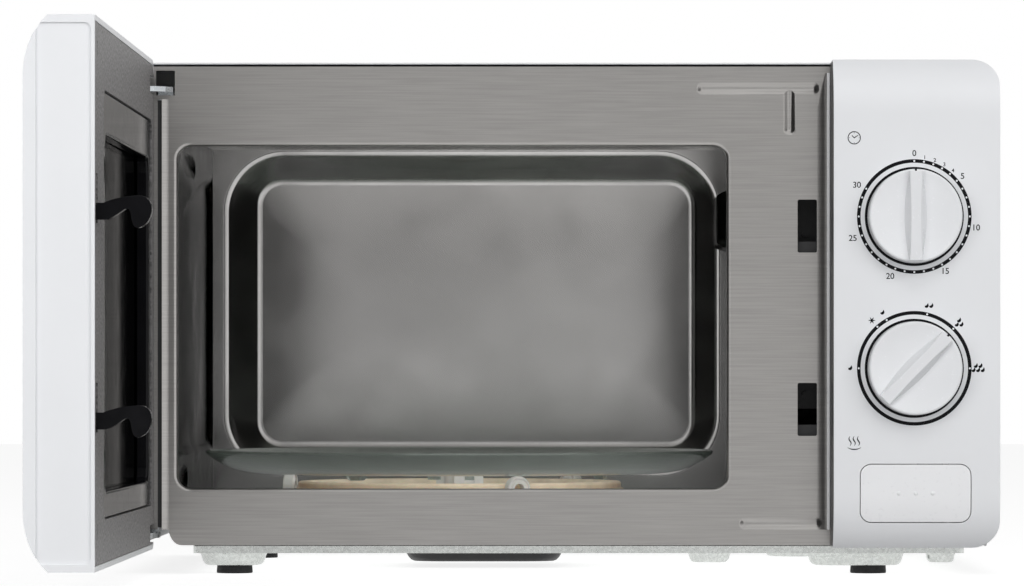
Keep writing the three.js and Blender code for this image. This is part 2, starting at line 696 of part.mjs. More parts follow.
// ---- Timer and power selector: cases bored for their shafts ----
function switchCase(z, half, high, back) {
  const y0 = FASCIA_INNER + SEAT;
  const body = push(rect(KNOB_X - half, KNOB_X + half, z - high, z + high), "y", y0 + 6, back);
  const collar = rod("y", 8, KNOB_X, z, y0, y0 + 7);
  const tabs = [-18, 0, 18].map((dx) =>
    block(KNOB_X + dx - 3, KNOB_X + dx + 3, back - 1, back + 7, z - high + 4, z - high + 4.8),
  );
  const bore = rod("y", SHAFT_R + RUN, KNOB_X, z, y0 - 1, CONTROL_BACK - 11.6, 16);
  return cut(join(body, collar, ...tabs), bore);
}
place("timer_mechanism", switchCase(TIMER_Z, 30, 30, CONTROL_BACK), FINISH.nylon);
place("power_selector", switchCase(POWER_Z, 27, 24, CONTROL_BACK), FINISH.black);

function timerBell() {
  const profile = [
    [0, 0],
    [3, 0],
    [3, 3],
    [19, 3],
    [21, 5],
    [21, 12],
    [20, 12],
    [20, 5.6],
    [18.6, 4],
    [0, 4],
  ];
  return turned(profile, 18)
    .rotateX(-Math.PI / 2)
    .translate(KNOB_X, CONTROL_BACK + SEAT, TIMER_Z + 6);
}
place("timer_bell", timerBell(), FINISH.zinc);

// ---- Open button, flush with the face, with a stem to the release lever ----
const STEM = { x: (BUTTON.x0 + BUTTON.x1) / 2, wide: 8, z: (BUTTON.z0 + BUTTON.z1) / 2 };
const LEVER = { y: 9, z: STEM.z + 16.1, r: 3, thick: 4, pad: 4, rise: 20, below: 8.5 };

function openButton() {
  const reach = (inset) => fasciaSlab(BUTTON.x0 - 1, BUTTON.x1 + 1, inset, 0);
  const back = FASCIA_FACE + BUTTON_DEPTH;
  const cap = common(push(roundRect(BUTTON), "y", FASCIA_FACE - 1, back), reach(0));
  const hollow = common(push(roundRect(grown(BUTTON, -2)), "y", FASCIA_FACE, -1), reach(2));
  const stem = block(
    STEM.x - STEM.wide / 2,
    STEM.x + STEM.wide / 2,
    FASCIA_FACE + 1.5,
    LEVER.y - LEVER.pad / 2 - SEAT,
    STEM.z - 4,
    STEM.z + 4,
  );
  const dots = [-8.5, 0, 8.5].map((dx) =>
    rod("y", 1.1, STEM.x + dx, STEM.z, FASCIA_FACE - 0.5, FASCIA_FACE + 1, 12),
  );
  return join(cut(cap, hollow), stem, ...dots);
}
place("open_button", openButton(), FINISH.white);

// ---- Latch board behind the slots, with the ledges that the hooks catch on ----
const BOARD = { x0: SLOT_X + 6.6, thick: 3, y1: 46, z0: 44, z1: 206 };
const LEDGE = { y0: 4, y1: 12, drop: 9, ramp: 3.6 }; // the ramp clears a shut hook

function latchBoard() {
  const x1 = BOARD.x0 + BOARD.thick;
  const wall = block(BOARD.x0, x1, CAVITY_START, BOARD.y1, BOARD.z0, BOARD.z1);
  const foot = block(BOARD.x0 - 14, x1, CAVITY_START, 3, BOARD.z0, BOARD.z0 + 8);
  const head = block(BOARD.x0 - 14, x1, CAVITY_START, 3, BOARD.z1 - 8, BOARD.z1);
  const ledges = LATCH_HEIGHTS.map((z) => {
    const top = z - SEAT * 2;
    const section = [
      [LEDGE.y0, top],
      [LEDGE.y1 - LEDGE.ramp, top],
      [LEDGE.y1, top - LEDGE.ramp],
      [LEDGE.y1, top - LEDGE.drop],
      [LEDGE.y0, top - LEDGE.drop],
    ];
    return push(outline(section), "x", HOOK.x - 8, x1 - 1);
  });
  const pivot = rod("x", LEVER.r + RUN, LEVER.y, LEVER.z, BOARD.x0 - 1, x1 + 1, 16);
  return cut(join(wall, foot, head, ...ledges), pivot);
}
place("latch_board", latchBoard(), FINISH.nylon);

function releaseLever() {
  const { y, z, r, thick, pad, rise } = LEVER;
  const bar = rod("x", r, y, z, HOOK.x - thick, STEM.x + 3, 16);
  const down = block(STEM.x - 3, STEM.x + 3, y - pad / 2, y + pad / 2, STEM.z - 3, z);
  const arm = [
    [y - 2, z - 2.5],
    [y + rise + 2, z + 1],
    [y + rise + 2, HOOK_REST - LEVER.below],
    [y + rise - 3, HOOK_REST - LEVER.below],
    [y - 2, z + 2.5],
  ];
  const finger = push(outline(arm), "x", HOOK.x - thick, HOOK.x + thick - 1);
  return join(bar, down, finger);
}

place("release_lever", releaseLever(), FINISH.nylon);

// The lever's return spring, wound round its bar beside the board.
function leverSpring() {
  const turns = 4;
  const wire = 0.5;
  const mean = LEVER.r + RUN + wire;
  const x0 = BOARD.x0 + BOARD.thick + 1;
  class Coil extends THREE.Curve {
    getPoint(t) {
      const a = t * turns * 2 * Math.PI;
      return vec(x0 + t * turns * 1.6, LEVER.y + mean * Math.cos(a), LEVER.z + mean * Math.sin(a));
    }
  }
  const section = new THREE.Shape().absarc(0, 0, wire, 0, 2 * Math.PI);
  return new THREE.ExtrudeGeometry(section, {
    extrudePath: new Coil(),
    steps: turns * 8,
    curveSegments: 2,
    bevelEnabled: false,
  });
}
place("lever_spring", leverSpring(), FINISH.zinc);

const SWITCH = { x0: SLOT_X - 6, y0: 27.5, deep: 14, tall: 26 };
const SWITCH_SPOTS = { upper: LATCH_HEIGHTS[1] - 3, middle: LATCH_HEIGHTS[0] + 41, lower: LATCH_HEIGHTS[0] + 7.5 };
for (const [name, z] of Object.entries(SWITCH_SPOTS)) {
  const x1 = BOARD.x0 - SEAT;
  const y1 = SWITCH.y0 + SWITCH.deep;
  const body = block(SWITCH.x0, x1, SWITCH.y0, y1, z, z + SWITCH.tall);
  const plunger = rod("y", 1.6, HOOK.x, z + 7, SWITCH.y0 - 2, SWITCH.y0 + 1, 12);
  const tabs = [5, 13, 21].map((dz) =>
    block(HOOK.x - 3, HOOK.x + 3, y1 - 1, y1 + 6, z + dz, z + dz + 0.8),
  );
  place(`door_switch_${name}`, join(body, plunger, ...tabs), FINISH.black);
}

// ==== Door, drawn shut ====
const DOOR_INNER = -DOOR_GAP; // face towards the front plate
const DOOR_FACE = DOOR_INNER - DOOR_THICK;
const FRAME_CORNER = 12;
const END_RECESS = { deep: 1.2, front: 5.7, side: 3.5 };
const HINGE_POCKET = { right: 21, deep: 15, below: 1.8, above: 4.6 };

// Clears the fixed hinge arms at every angle of the door.
function hingePockets() {
  const p = HINGE_POCKET;
  return HINGE_ARM.heights.map((z) =>
    block(
      DOOR_LEFT - 1,
      HINGE_X + p.right,
      HINGE_Y - p.deep / 2,
      DOOR_INNER + 1,
      z - p.below,
      z + HINGE_ARM.thick + p.above,
    ),
  );
}

// The door's outline drawn in by an inset: rounded by the hinges, square at the free end.
function doorOutline(inset) {
  const c = FRAME_CORNER - inset;
  const [left, right] = [DOOR_LEFT + inset, DOOR_RIGHT - inset];
  const [z0, z1] = [DOOR_BOTTOM + inset, DOOR_TOP - inset];
  const s = new THREE.Shape();
  s.moveTo(right, z0).lineTo(right, z1);
  s.lineTo(left + c, z1).absarc(left + c, z1 - c, c, Math.PI / 2, Math.PI);
  s.absarc(left + c, z0 + c, c, Math.PI, 1.5 * Math.PI);
  return s;
}

function doorFrame() {
  const body = (inset, back) => {
    const profile = rolledProfile(DOOR_FACE, back, DOOR_BOTTOM, DOOR_TOP, inset);
    const slab = push(profile, "x", DOOR_LEFT + inset, DOOR_RIGHT - inset, 5);
    return common(slab, push(doorOutline(inset), "y", DOOR_FACE - 1, back + 1, 4));
  };
  const shell = cut(body(0, DOOR_INNER), body(WALL, DOOR_INNER + 1));
  const bosses = HINGE_ARM.heights.map((z, i) => {
    const [low, high] = i ? [z - 16, z - HINGE_POCKET.below] : [z + 7.2, z + 20];
    return block(DOOR_LEFT + 1, HINGE_X + 6.5, DOOR_FACE + 1, HINGE_Y + 6, low, high);
  });
  const knuckle = new THREE.Shape();
  knuckle.moveTo(DOOR_LEFT - 1, DOOR_INNER + 1).lineTo(DOOR_LEFT - 1, DOOR_INNER - 3);
  knuckle.lineTo(DOOR_LEFT, DOOR_INNER - 3);
  knuckle.quadraticCurveTo(DOOR_LEFT, DOOR_INNER, DOOR_LEFT + 3, DOOR_INNER);
  knuckle.lineTo(DOOR_LEFT + 3, DOOR_INNER + 1);
  const eased = push(knuckle, "z", DOOR_BOTTOM - 1, DOOR_TOP + 1);
  const window = push(roundRect(OUTER_WINDOW), "y", DOOR_FACE - 1, DOOR_FACE + WALL + 1);
  const e = END_RECESS;
  const [y0, y1] = [DOOR_FACE + e.front, DOOR_INNER - e.side];
  const end = push(
    rect(y0, y1, DOOR_BOTTOM + e.side, DOOR_TOP - e.side),
    "x",
    DOOR_RIGHT - e.deep,
    DOOR_RIGHT + 1,
    3,
  );
  const bores = HINGE_ARM.heights.map((z, i) => {
    const [low, high] = i ? [z - 12, z] : [z, z + 16];
    return rod("z", PIN_R + RUN, HINGE_X, HINGE_Y, low, high);
  });
  return cut(join(shell, ...bosses), eased, window, end, ...hingePockets(), ...bores);
}
placeOnDoor("door_frame", doorFrame(), FINISH.white);

const PANEL_GAP = WALL + SEAT;
const SKIN_BACK = DOOR_INNER - SHEET;

const CHOKE_BACK = -14;

function doorInnerPanel() {
  const [low, high] = [DOOR_BOTTOM + PANEL_GAP, DOOR_TOP - PANEL_GAP];
  const [hingeSide, freeSide] = [DOOR_LEFT + PANEL_GAP + 22, DOOR_RIGHT - PANEL_GAP - 6];
  const sheet = push(doorOutline(PANEL_GAP), "y", SKIN_BACK, DOOR_INNER, 6);
  const { below, above, half } = DOOR_SLOT;
  const slotCuts = LATCH_HEIGHTS.map((z) =>
    block(SLOT_X - half, SLOT_X + half, SKIN_BACK - 1, DOOR_INNER + 1, z - below, z + above),
  );
  const walls = push(ringShape(grown(CHOKE, SHEET), CHOKE), "y", CHOKE_BACK, SKIN_BACK + 0.2);
  const folds = [low, high - SHEET].map((z) =>
    block(hingeSide, freeSide, SKIN_BACK - 6, SKIN_BACK + 0.2, z, z + SHEET),
  );
  const hole = push(roundRect(CHOKE), "y", CHOKE_BACK - 1, DOOR_INNER + 1);
  return cut(join(sheet, walls, ...folds), hole, ...slotCuts, ...hingePockets());
}
placeOnDoor("door_inner_panel", doorInnerPanel(), FINISH.greyPaint);

const FILM_Y = -8.5; // face of the inner window film

function chokeCover() {
  const outer = grown(CHOKE, -SEAT);
  const face = DOOR_INNER - 0.6;
  const border = push(ringShape(outer, INNER_WINDOW), "y", face - 1.6, face);
  const skirt = push(ringShape(outer, grown(outer, -1.8)), "y", FILM_Y - 0.5, face - 1);
  const lip = grown(INNER_WINDOW, 1.8);
  const well = push(ringShape(lip, INNER_WINDOW), "y", FILM_Y + SEAT, face - 1);
  return join(border, skirt, well);
}
placeOnDoor("choke_cover", chokeCover(), FINISH.glossBlack);
placeOnDoor(
  "inner_window_film",
  push(roundRect(grown(INNER_WINDOW, 6)), "y", FILM_Y - 0.5, FILM_Y),
  FINISH.smoked,
);
placeOnDoor(
  "door_screen",
  push(roundRect(grown(CHOKE, -SEAT)), "y", FILM_Y - SHEET - 0.8, FILM_Y - 0.8),
  FINISH.iron,
);

// The front window sits in a rebate behind the frame, held by a lip that reaches the screen.
function outerWindow() {
  const y0 = DOOR_FACE + WALL + SEAT;
  const pane = push(roundRect(grown(OUTER_WINDOW, 6)), "y", y0, y0 + 3);
  const rim = ringShape(grown(OUTER_WINDOW, 6), grown(OUTER_WINDOW, 3.6));
  return join(pane, push(rim, "y", y0 + 2, FILM_Y - SHEET - 0.8 - SEAT, 4));
}
placeOnDoor("outer_window", outerWindow(), FINISH.glass);

// Two hooks on one upright bar that slides in the door.
const BAR = { y0: -14, y1: -7, z0: 62, z1: 186, wide: 8 };

function hookOutline(z) {
  const root = BAR.y1 - 1;
  const tip = DOOR_INNER + HOOK.reach;
  const top = z + HOOK.arm;
  const s = new THREE.Shape();
  s.moveTo(root, z).lineTo(6, z);
  s.quadraticCurveTo(11, z, 13, z - HOOK_DROP + 0.6);
  s.quadraticCurveTo(14.5, z - HOOK_DROP - 0.2, 17, z - HOOK_DROP);
  s.quadraticCurveTo(tip, z + 1, tip, z + 5);
  s.quadraticCurveTo(tip, top + 3, 18, top + 3.2);
  s.quadraticCurveTo(13, top + 3, 10, top + 0.8).lineTo(7, top).lineTo(root, top);
  return s;
}

function hookBar() {
  const { y0, y1, z0, z1, wide } = BAR;
  const bar = push(rect(HOOK.x - wide / 2, HOOK.x + wide / 2, z0, z1, 2), "y", y0, y1);
  const hooks = LATCH_HEIGHTS.map((z) =>
    push(hookOutline(z), "x", HOOK.x - HOOK.wide / 2, HOOK.x + HOOK.wide / 2),
  );
  return join(bar, ...hooks);
}
placeOnDoor("latch_hooks", hookBar(), FINISH.glossBlack);

const SPRING = { z1: BAR.z1 + HOOK.lift + 12, wire: 0.45, mean: 2.4, turns: 6 };

// Rails moulded for the bar, clipped to the inner panel's back.
function hookGuide() {
  const { y0, z0, z1, wide } = BAR;
  const half = wide / 2 + RUN;
  const back = y0 - RUN;
  const rails = [HOOK.x - half - 1.6, HOOK.x + half].map((x) =>
    block(x, x + 1.6, back - 1.6, SKIN_BACK - SEAT, z0 - 6, z1 + HOOK.lift + 14),
  );
  const web = block(HOOK.x - half - 1.6, HOOK.x + half + 1.6, back - 1.6, back, z0 - 6, z1 + HOOK.lift + 14);
  const stop = block(HOOK.x - half - 1, HOOK.x + half + 1, back - 1, SKIN_BACK - SEAT, z0 - 6, z0 - SEAT);
  const top = SPRING.z1;
  const cap = block(HOOK.x - half - 1, HOOK.x + half + 1, back - 1, SKIN_BACK - SEAT, top, top + 2);
  return join(...rails, web, stop, cap);
}
placeOnDoor("hook_guide", hookGuide(), FINISH.nylon);

function hookSpring() {
  const { z1, wire, mean, turns } = SPRING;
  const [low, high] = [BAR.z1 + SEAT + wire, z1 - SEAT - wire];
  const middle = (BAR.y0 + BAR.y1) / 2;
  class Coil extends THREE.Curve {
    getPoint(t) {
      const a = t * turns * 2 * Math.PI;
      const z = low + t * (high - low);
      return vec(HOOK.x + mean * Math.cos(a), middle + mean * Math.sin(a), z);
    }
  }
  return new THREE.ExtrudeGeometry(new THREE.Shape().absarc(0, 0, wire, 0, 2 * Math.PI), {
    extrudePath: new Coil(),
    steps: turns * 8,
    curveSegments: 2,
    bevelEnabled: false,
  });
}
placeOnDoor("hook_spring", hookSpring(), FINISH.zinc);

// ==== Hinges, fixed behind the front plate ====
function hingeArm(i) {
  const [x0, x1] = ARM_WAYS[i];
  const z = HINGE_ARM.heights[i];
  const arm = new THREE.Shape();
  arm.moveTo(x0, 12).lineTo(x1, 12);
  arm.lineTo(x1, -1.5).quadraticCurveTo(x1 - 3.5, -9, HINGE_X + 2, HINGE_Y - 4.6);
  arm.absarc(HINGE_X, HINGE_Y, 5, -Math.PI / 2, -1.5 * Math.PI, true);
  arm.quadraticCurveTo((x0 + HINGE_X) / 2, -5, x0, 0);
  const strap = push(arm, "z", z, z + HINGE_ARM.thick);
  const inward = i ? -HINGE_ARM.bracket : HINGE_ARM.bracket + HINGE_ARM.thick;
  const [low, high] = [z + HINGE_ARM.thick / 2, z + inward].sort((a, b) => a - b);
  const bracket = block(x0, x1, CAVITY_START, 3.6, low, high);
  const [from, to] = i ? [z - 10, z + HINGE_ARM.thick + 1] : [z - 1, z + 14];
  return join(strap, bracket, rod("z", PIN_R, HINGE_X, HINGE_Y, from, to, 16));
}
place("lower_hinge_arm", hingeArm(0), FINISH.zinc);
place("upper_hinge_arm", hingeArm(1), FINISH.zinc);

// ==== Turntable ====
const GLASS_Z = CAVITY_FLOOR + 2 * WHEEL_R + SEAT * 2; // underside of the glass, on the rollers
const HUB_TOP = GLASS_Z - SEAT;
const LUG = { radius: 77, angles: [-13.4, 106.6, 226.6], drop: 3 };
const DRIVE = { lobe: 13, hub: 9, engage: 3.5 };

// Three parts round the middle, made by turning one geometry.
function thrice(make, start) {
  return [0, 120, 240].map((a) => make().rotateZ((start + a) * DEGREE));
}

function glassPlate() {
  const flat = PLATE_R - 27;
  const inside = PLATE_GLASS;
  const curve = [1, 2, 3, 4].map((i) => {
    const t = i / 4;
    return [flat + t * 27, t * t * (PLATE_RIM - 5)];
  });
  const profile = [
    [0, 0],
    [flat, 0],
    ...curve,
    [PLATE_R, PLATE_RIM - 1],
    [PLATE_R - 1.2, PLATE_RIM],
    [PLATE_R - 4, PLATE_RIM - 0.6],
    ...curve.slice(0, 3).reverse().map(([r, h]) => [r - 1.5, h + inside]),
    [flat - 2, inside],
    [0, inside],
  ];
  const disc = turned(profile, 40).translate(0, 0, GLASS_Z);
  const lugs = LUG.angles.map((a) =>
    tapered(LUG.radius - 3, [-7, 7, -LUG.drop, 0.5], LUG.radius + 3, [-7, 7, -LUG.drop, 0.5])
      .rotateZ(a * DEGREE)
      .translate(0, 0, GLASS_Z),
  );
  const dogs = thrice(() => block(DRIVE.hub + 1, 15, 3, 8, -DRIVE.engage, 0.5), 30);
  return join(disc, ...lugs, ...dogs.map((d) => d.translate(0, 0, GLASS_Z)));
}
place("glass_turntable", glassPlate(), FINISH.glass).position.set(TURN_X, TURN_Y, 0);

const MOTOR = { top: CAVITY_FLOOR - SHEET - SEAT, high: 15, radius: 24.5, bore: 9 };

function coupling() {
  const low = CAVITY_FLOOR + LIFT_ROOM;
  const hub = rod("z", DRIVE.hub - 1, 0, 0, low, HUB_TOP, 24);
  const lobes = thrice(() => block(0, DRIVE.lobe, -2.6, 2.6, low + 2, HUB_TOP), 30);
  const shaft = rod("z", SHAFT_R, 0, 0, MOTOR.top - MOTOR.bore + SEAT, low + 1, 16);
  return join(hub, ...lobes, shaft);
}
place("turntable_coupling", coupling(), FINISH.nylon).position.set(TURN_X, TURN_Y, 0);

function turntableMotor() {
  const { top, high, radius, bore } = MOTOR;
  const can = rod("z", radius, 0, 0, top - high, top, 28);
  const ears = block(-radius - 7, radius + 7, -5, 5, top - 1.2, top);
  const tag = block(-8, 8, -radius - 8, -radius + 4, top - high + 1, top - high + 7);
  return cut(join(can, ears, tag), rod("z", SHAFT_R + RUN, 0, 0, top - bore, top + 1, 16));
}
place("turntable_motor", turntableMotor(), FINISH.zinc).position.set(TURN_X, TURN_Y, 0);

const WHEEL_Z = CAVITY_FLOOR + SEAT + WHEEL_R; // wheel centres
const WHEEL_INNER = TRACK_R - WHEEL_WIDE / 2;
const AXLE_R = 2.1;

function rollerRing() {
  const { inner, outer, z0, z1 } = RING;
  const profile = [
    [inner, z0],
    [outer, z0],
    [outer, z1],
    [inner, z1],
    [inner, z0],
  ];
  const axles = WHEEL_ANGLES.map((a) =>
    join(
      rod("x", AXLE_R, 0, WHEEL_Z, outer - 2, TRACK_R + WHEEL_WIDE / 2 + 1, 12),
      rod("x", AXLE_R + 1, 0, WHEEL_Z, WHEEL_INNER + WHEEL_WIDE + RUN, TRACK_R + WHEEL_WIDE / 2 + 1.8, 12),
    ).rotateZ(a * DEGREE),
  );
  return join(turned(profile, 36), ...axles);
}
place("roller_ring", rollerRing(), FINISH.amber).position.set(TURN_X, TURN_Y, 0);

WHEEL_ANGLES.forEach((a, i) => {
  const half = WHEEL_WIDE / 2;
  const bore = AXLE_R + RUN;
  const profile = [
    [bore, -half],
    [WHEEL_R - 0.5, -half],
    [WHEEL_R, -half + 0.8],
    [WHEEL_R, half - 0.8],
    [WHEEL_R - 0.5, half],
    [bore, half],
    [bore, -half],
  ];
  const wheel = turned(profile, 16)
    .rotateY(Math.PI / 2)
    .translate(TRACK_R + SEAT, 0, WHEEL_Z)
    .rotateZ(a * DEGREE);
  place(`roller_wheel_${i + 1}`, wheel, FINISH.nylon).position.set(TURN_X, TURN_Y, 0);
});

// ==== Machine bay ====
const GUIDE = { y0: 128, y1: 232, z0: 150, z1: 212, deep: 20 };

function waveguide() {
  const { y0, y1, z0, z1, deep } = GUIDE;
  const x0 = BAY_LEFT + SEAT;
  const channel = block(x0, x0 + deep, y0, y1, z0, z1);
  const hollow = block(x0 - 1, x0 + deep - SHEET, y0 + SHEET, y1 - SHEET, z0 + SHEET, z1 - SHEET);
  const port = rod("x", 12, (y0 + y1) / 2, (z0 + z1) / 2, x0 + deep - 3, x0 + deep + 1);
  return cut(channel, hollow, port);
}
place("waveguide", waveguide(), FINISH.zinc);

const GUIDE_FACE = BAY_LEFT + SEAT + GUIDE.deep;

function magnetron() {
  const x0 = GUIDE_FACE + SEAT;
  const [y, z] = [(GUIDE.y0 + GUIDE.y1) / 2, (GUIDE.z0 + GUIDE.z1) / 2];
  const flange = block(x0, x0 + 2, y - 46, y + 46, z - 32, z + 38);
  const antenna = rod("x", 7, y, z, x0 - 14, x0 + 1);
  const core = rod("x", 19, y, z, x0 + 1, x0 + 58);
  const fins = [0, 1, 2, 3, 4].map((i) => {
    const x = x0 + 12 + i * 8;
    return block(x, x + 1, y - 30, y + 30, z - 30, z + 30);
  });
  const yoke = [z - 32, z + 30].map((low) => block(x0 + 1, x0 + 54, y - 30, y + 30, low, low + 2));
  const filter = block(x0 + 52, x0 + 78, y - 28, y + 28, z - 26, z + 26);
  return join(flange, antenna, core, ...fins, ...yoke, filter);
}
place("magnetron", magnetron(), FINISH.aluminium);

const TRANSFORMER = { x0: CAVITY_RIGHT + 19, x1: CAVITY_RIGHT + 109, y0: 100, y1: 182, high: 74, plate: 2 };

function transformerCore() {
  const { x0, x1, y0, y1, high, plate } = TRANSFORMER;
  const z0 = PAN_FLOOR + SEAT;
  const foot = block(x0 - 8, x1 + 8, y0 + 14, y1 - 14, z0, z0 + plate);
  const core = block(x0, x1, y0 + 20, y1 - 20, z0 + 1, z0 + high);
  const [w, mid] = [(x1 - x0) / 6, (x0 + x1) / 2];
  const windows = [-1, 1].map((side) => {
    const [a, b] = [mid + side * w, mid + side * 2 * w].sort((p, q) => p - q);
    return block(a, b, y0, y1, z0 + 14, z0 + high - 12);
  });
  return cut(join(foot, core), ...windows);
}
place("transformer_core", transformerCore(), FINISH.iron);

function transformerWinding() {
  const { x0, x1, y0, y1, high } = TRANSFORMER;
  const z0 = PAN_FLOOR + SEAT;
  const [w, mid] = [(x1 - x0) / 6, (x0 + x1) / 2];
  const [low, top] = [z0 + 14 + SEAT, z0 + high - 12 - SEAT];
  const coil = block(mid - 2 * w + SEAT, mid + 2 * w - SEAT, y0, y1, low, top);
  const leg = block(mid - w - SEAT, mid + w + SEAT, y0 + 20 - SEAT, y1 - 20 + SEAT, low - 1, top + 1);
  return cut(coil, leg);
}
place("transformer_winding", transformerWinding(), FINISH.copper);

const CAN = { x: CAVITY_RIGHT + 39, y: 246, rx: 26, ry: 15, high: 88 };

function capacitor() {
  const z0 = PAN_FLOOR + SEAT;
  const can = new THREE.Shape().absellipse(CAN.x, CAN.y, CAN.rx, CAN.ry, 0, 2 * Math.PI);
  const body = push(can, "z", z0, z0 + CAN.high, 14);
  const tabs = [-10, 10].map((dx) =>
    block(CAN.x + dx - 3, CAN.x + dx + 3, CAN.y - 0.4, CAN.y + 0.4, z0 + CAN.high - 1, z0 + CAN.high + 8),
  );
  const clamp = block(CAN.x + CAN.rx - 2, CAN.x + CAN.rx + 9, CAN.y - 6, CAN.y + 6, z0, z0 + 1.2);
  return join(body, ...tabs, clamp);
}
place("capacitor", capacitor(), FINISH.aluminium);

const DIODE = { x: CAN.x + 46, y: CAN.y };
function diode() {
  const z0 = PAN_FLOOR + SEAT;
  const body = block(DIODE.x - 11, DIODE.x + 11, DIODE.y - 4, DIODE.y + 4, z0 + 2, z0 + 10);
  const lug = block(DIODE.x + 9, DIODE.x + 22, DIODE.y - 4, DIODE.y + 4, z0, z0 + 3);
  return join(body, lug);
}
place("diode", diode(), FINISH.black);

function lineFilter() {
  const x1 = INSIDE_RIGHT - 4;
  const [wide, high] = [38, 70];
  const y = REAR_FACE - 26; // face of the board
  const z = PAN_FLOOR + SEAT;
  const board = block(x1 - wide, x1, y, y + 1.6, z, z + high);
  const coil = block(x1 - 32, x1 - 10, y - 12, y + 0.5, z + 41, z + 61);
  const fuse = rod("z", 3.2, x1 - 8, y - 3.4, z + 8, z + 34, 12);
  const clips = [10, 30].map((up) => block(x1 - 12, x1 - 4, y - 6, y + 0.5, z + up, z + up + 3));
  return join(board, coil, fuse, ...clips);
}
place("line_filter", lineFilter(), FINISH.nylon);

const LAMP = { y: 88, z: 196, r: 11 };
function ovenLamp() {
  const x0 = BAY_LEFT + SEAT;
  const holder = block(x0, x0 + 4, LAMP.y - 16, LAMP.y + 16, LAMP.z - 13, LAMP.z + 13);
  const glass = rod("x", LAMP.r, LAMP.y, LAMP.z, x0 + 3, x0 + 26);
  return join(holder, glass);
}
place("oven_lamp", ovenLamp(), FINISH.glass);

// ---- Fan: shroud on the rear panel, motor on the shroud's bridge, blade on the motor's shaft ----
const SHROUD = { y1: REAR_FACE - SHEET - SEAT, deep: 26, wall: 2, half: 50 };
const FAN_TIP = 1.5; // blade tip to shroud
const FAN_MOTOR = { half: 21, deep: 26, bore: 10 };

function fanShroud() {
  const { y1, deep, wall, half } = SHROUD;
  const y0 = y1 - deep;
  const bore = FAN.radius + FAN_TIP;
  const plate = push(rect(FAN.x - half, FAN.x + half, FAN.z - half, FAN.z + half), "y", y1 - wall, y1);
  const duct = rod("y", bore + wall, FAN.x, FAN.z, y0, y1, 32);
  const open = rod("y", bore, FAN.x, FAN.z, y0 - 1, y1 + 1, 32);
  const bridge = block(FAN.x - bore - 1, FAN.x + bore + 1, y0, y0 + wall, FAN.z - 9, FAN.z + 9);
  const pass = rod("y", SHAFT_R + RUN, FAN.x, FAN.z, y0 - 1, y0 + wall + 1, 16);
  return cut(join(cut(join(plate, duct), open), bridge), pass);
}
place("fan_shroud", fanShroud(), FINISH.nylon);

function fanMotor() {
  const y1 = SHROUD.y1 - SHROUD.deep - SEAT;
  const { half, deep, bore } = FAN_MOTOR;
  const stack = block(FAN.x - half, FAN.x + half, y1 - deep + 6, y1 - 5, FAN.z - half - 10, FAN.z + half);
  const coil = block(FAN.x - 13, FAN.x + 13, y1 - deep, y1 - 1, FAN.z - half - 8, FAN.z - half + 6);
  const boss = rod("y", 9, FAN.x, FAN.z, y1 - deep, y1);
  const hole = rod("y", SHAFT_R - 1 + RUN, FAN.x, FAN.z, y1 - bore, y1 + 1, 16);
  return cut(join(stack, coil, boss), hole);
}
place("fan_motor", fanMotor(), FINISH.iron);

function fanBlade() {
  const y0 = SHROUD.y1 - SHROUD.deep;
  const hub = rod("y", 9, 0, 0, y0 + 5, y0 + 17);
  const shaft = rod("y", SHAFT_R - 1, 0, 0, y0 - SEAT - FAN_MOTOR.bore + SEAT, y0 + 6, 12);
  const blades = Array.from({ length: FAN.blades }, (_, i) =>
    block(6, FAN.radius, -1, 1, -8, 8)
      .rotateX(35 * DEGREE)
      .translate(0, y0 + 11, 0)
      .rotateY((i * 360 * DEGREE) / FAN.blades),
  );
  return join(hub, shaft, ...blades);
}
place("fan_blade", fanBlade(), FINISH.nylon).position.set(FAN.x, 0, FAN.z);

// The origin is on the table, under the middle of the oven with its door open.
const bounds = new THREE.Box3().setFromObject(oven);
const middle = bounds.getCenter(vec(0, 0, 0));
oven.position.set(-middle.x, -middle.y, -bounds.min.z);
const microwave = new THREE.Group();
microwave.add(oven);
export default microwave;
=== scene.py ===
"""The visible microwave oven, built in metres around its fixed CAD frame."""

import json
import math

import bmesh
import bpy
from mathutils import Matrix, Vector


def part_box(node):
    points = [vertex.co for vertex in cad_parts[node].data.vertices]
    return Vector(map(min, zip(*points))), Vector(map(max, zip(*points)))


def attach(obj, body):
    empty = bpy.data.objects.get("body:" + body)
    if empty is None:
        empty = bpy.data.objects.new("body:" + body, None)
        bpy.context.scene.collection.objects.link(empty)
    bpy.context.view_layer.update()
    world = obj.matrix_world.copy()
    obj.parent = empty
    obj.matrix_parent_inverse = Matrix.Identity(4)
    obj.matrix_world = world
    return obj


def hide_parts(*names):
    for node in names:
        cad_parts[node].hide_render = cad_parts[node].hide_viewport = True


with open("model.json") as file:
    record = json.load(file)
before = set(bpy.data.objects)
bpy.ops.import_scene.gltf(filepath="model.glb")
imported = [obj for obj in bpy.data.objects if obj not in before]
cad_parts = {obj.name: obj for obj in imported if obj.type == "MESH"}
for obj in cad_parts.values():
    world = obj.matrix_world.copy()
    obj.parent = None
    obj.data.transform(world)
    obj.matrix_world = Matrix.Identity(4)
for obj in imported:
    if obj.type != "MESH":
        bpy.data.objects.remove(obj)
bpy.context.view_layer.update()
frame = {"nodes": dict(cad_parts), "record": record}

bl_info = {
    "name": "Microwave Oven Parts",
    "version": (1, 0, 0),
    "blender": (4, 5, 0),
    "location": "View3D > Sidebar > Oven",
    "description": "Makes the visible pieces of a microwave oven around its CAD frame",
    "category": "Add Mesh",
}

MM = 0.001
DEGREE = math.pi / 180
X, Y, Z = range(3)

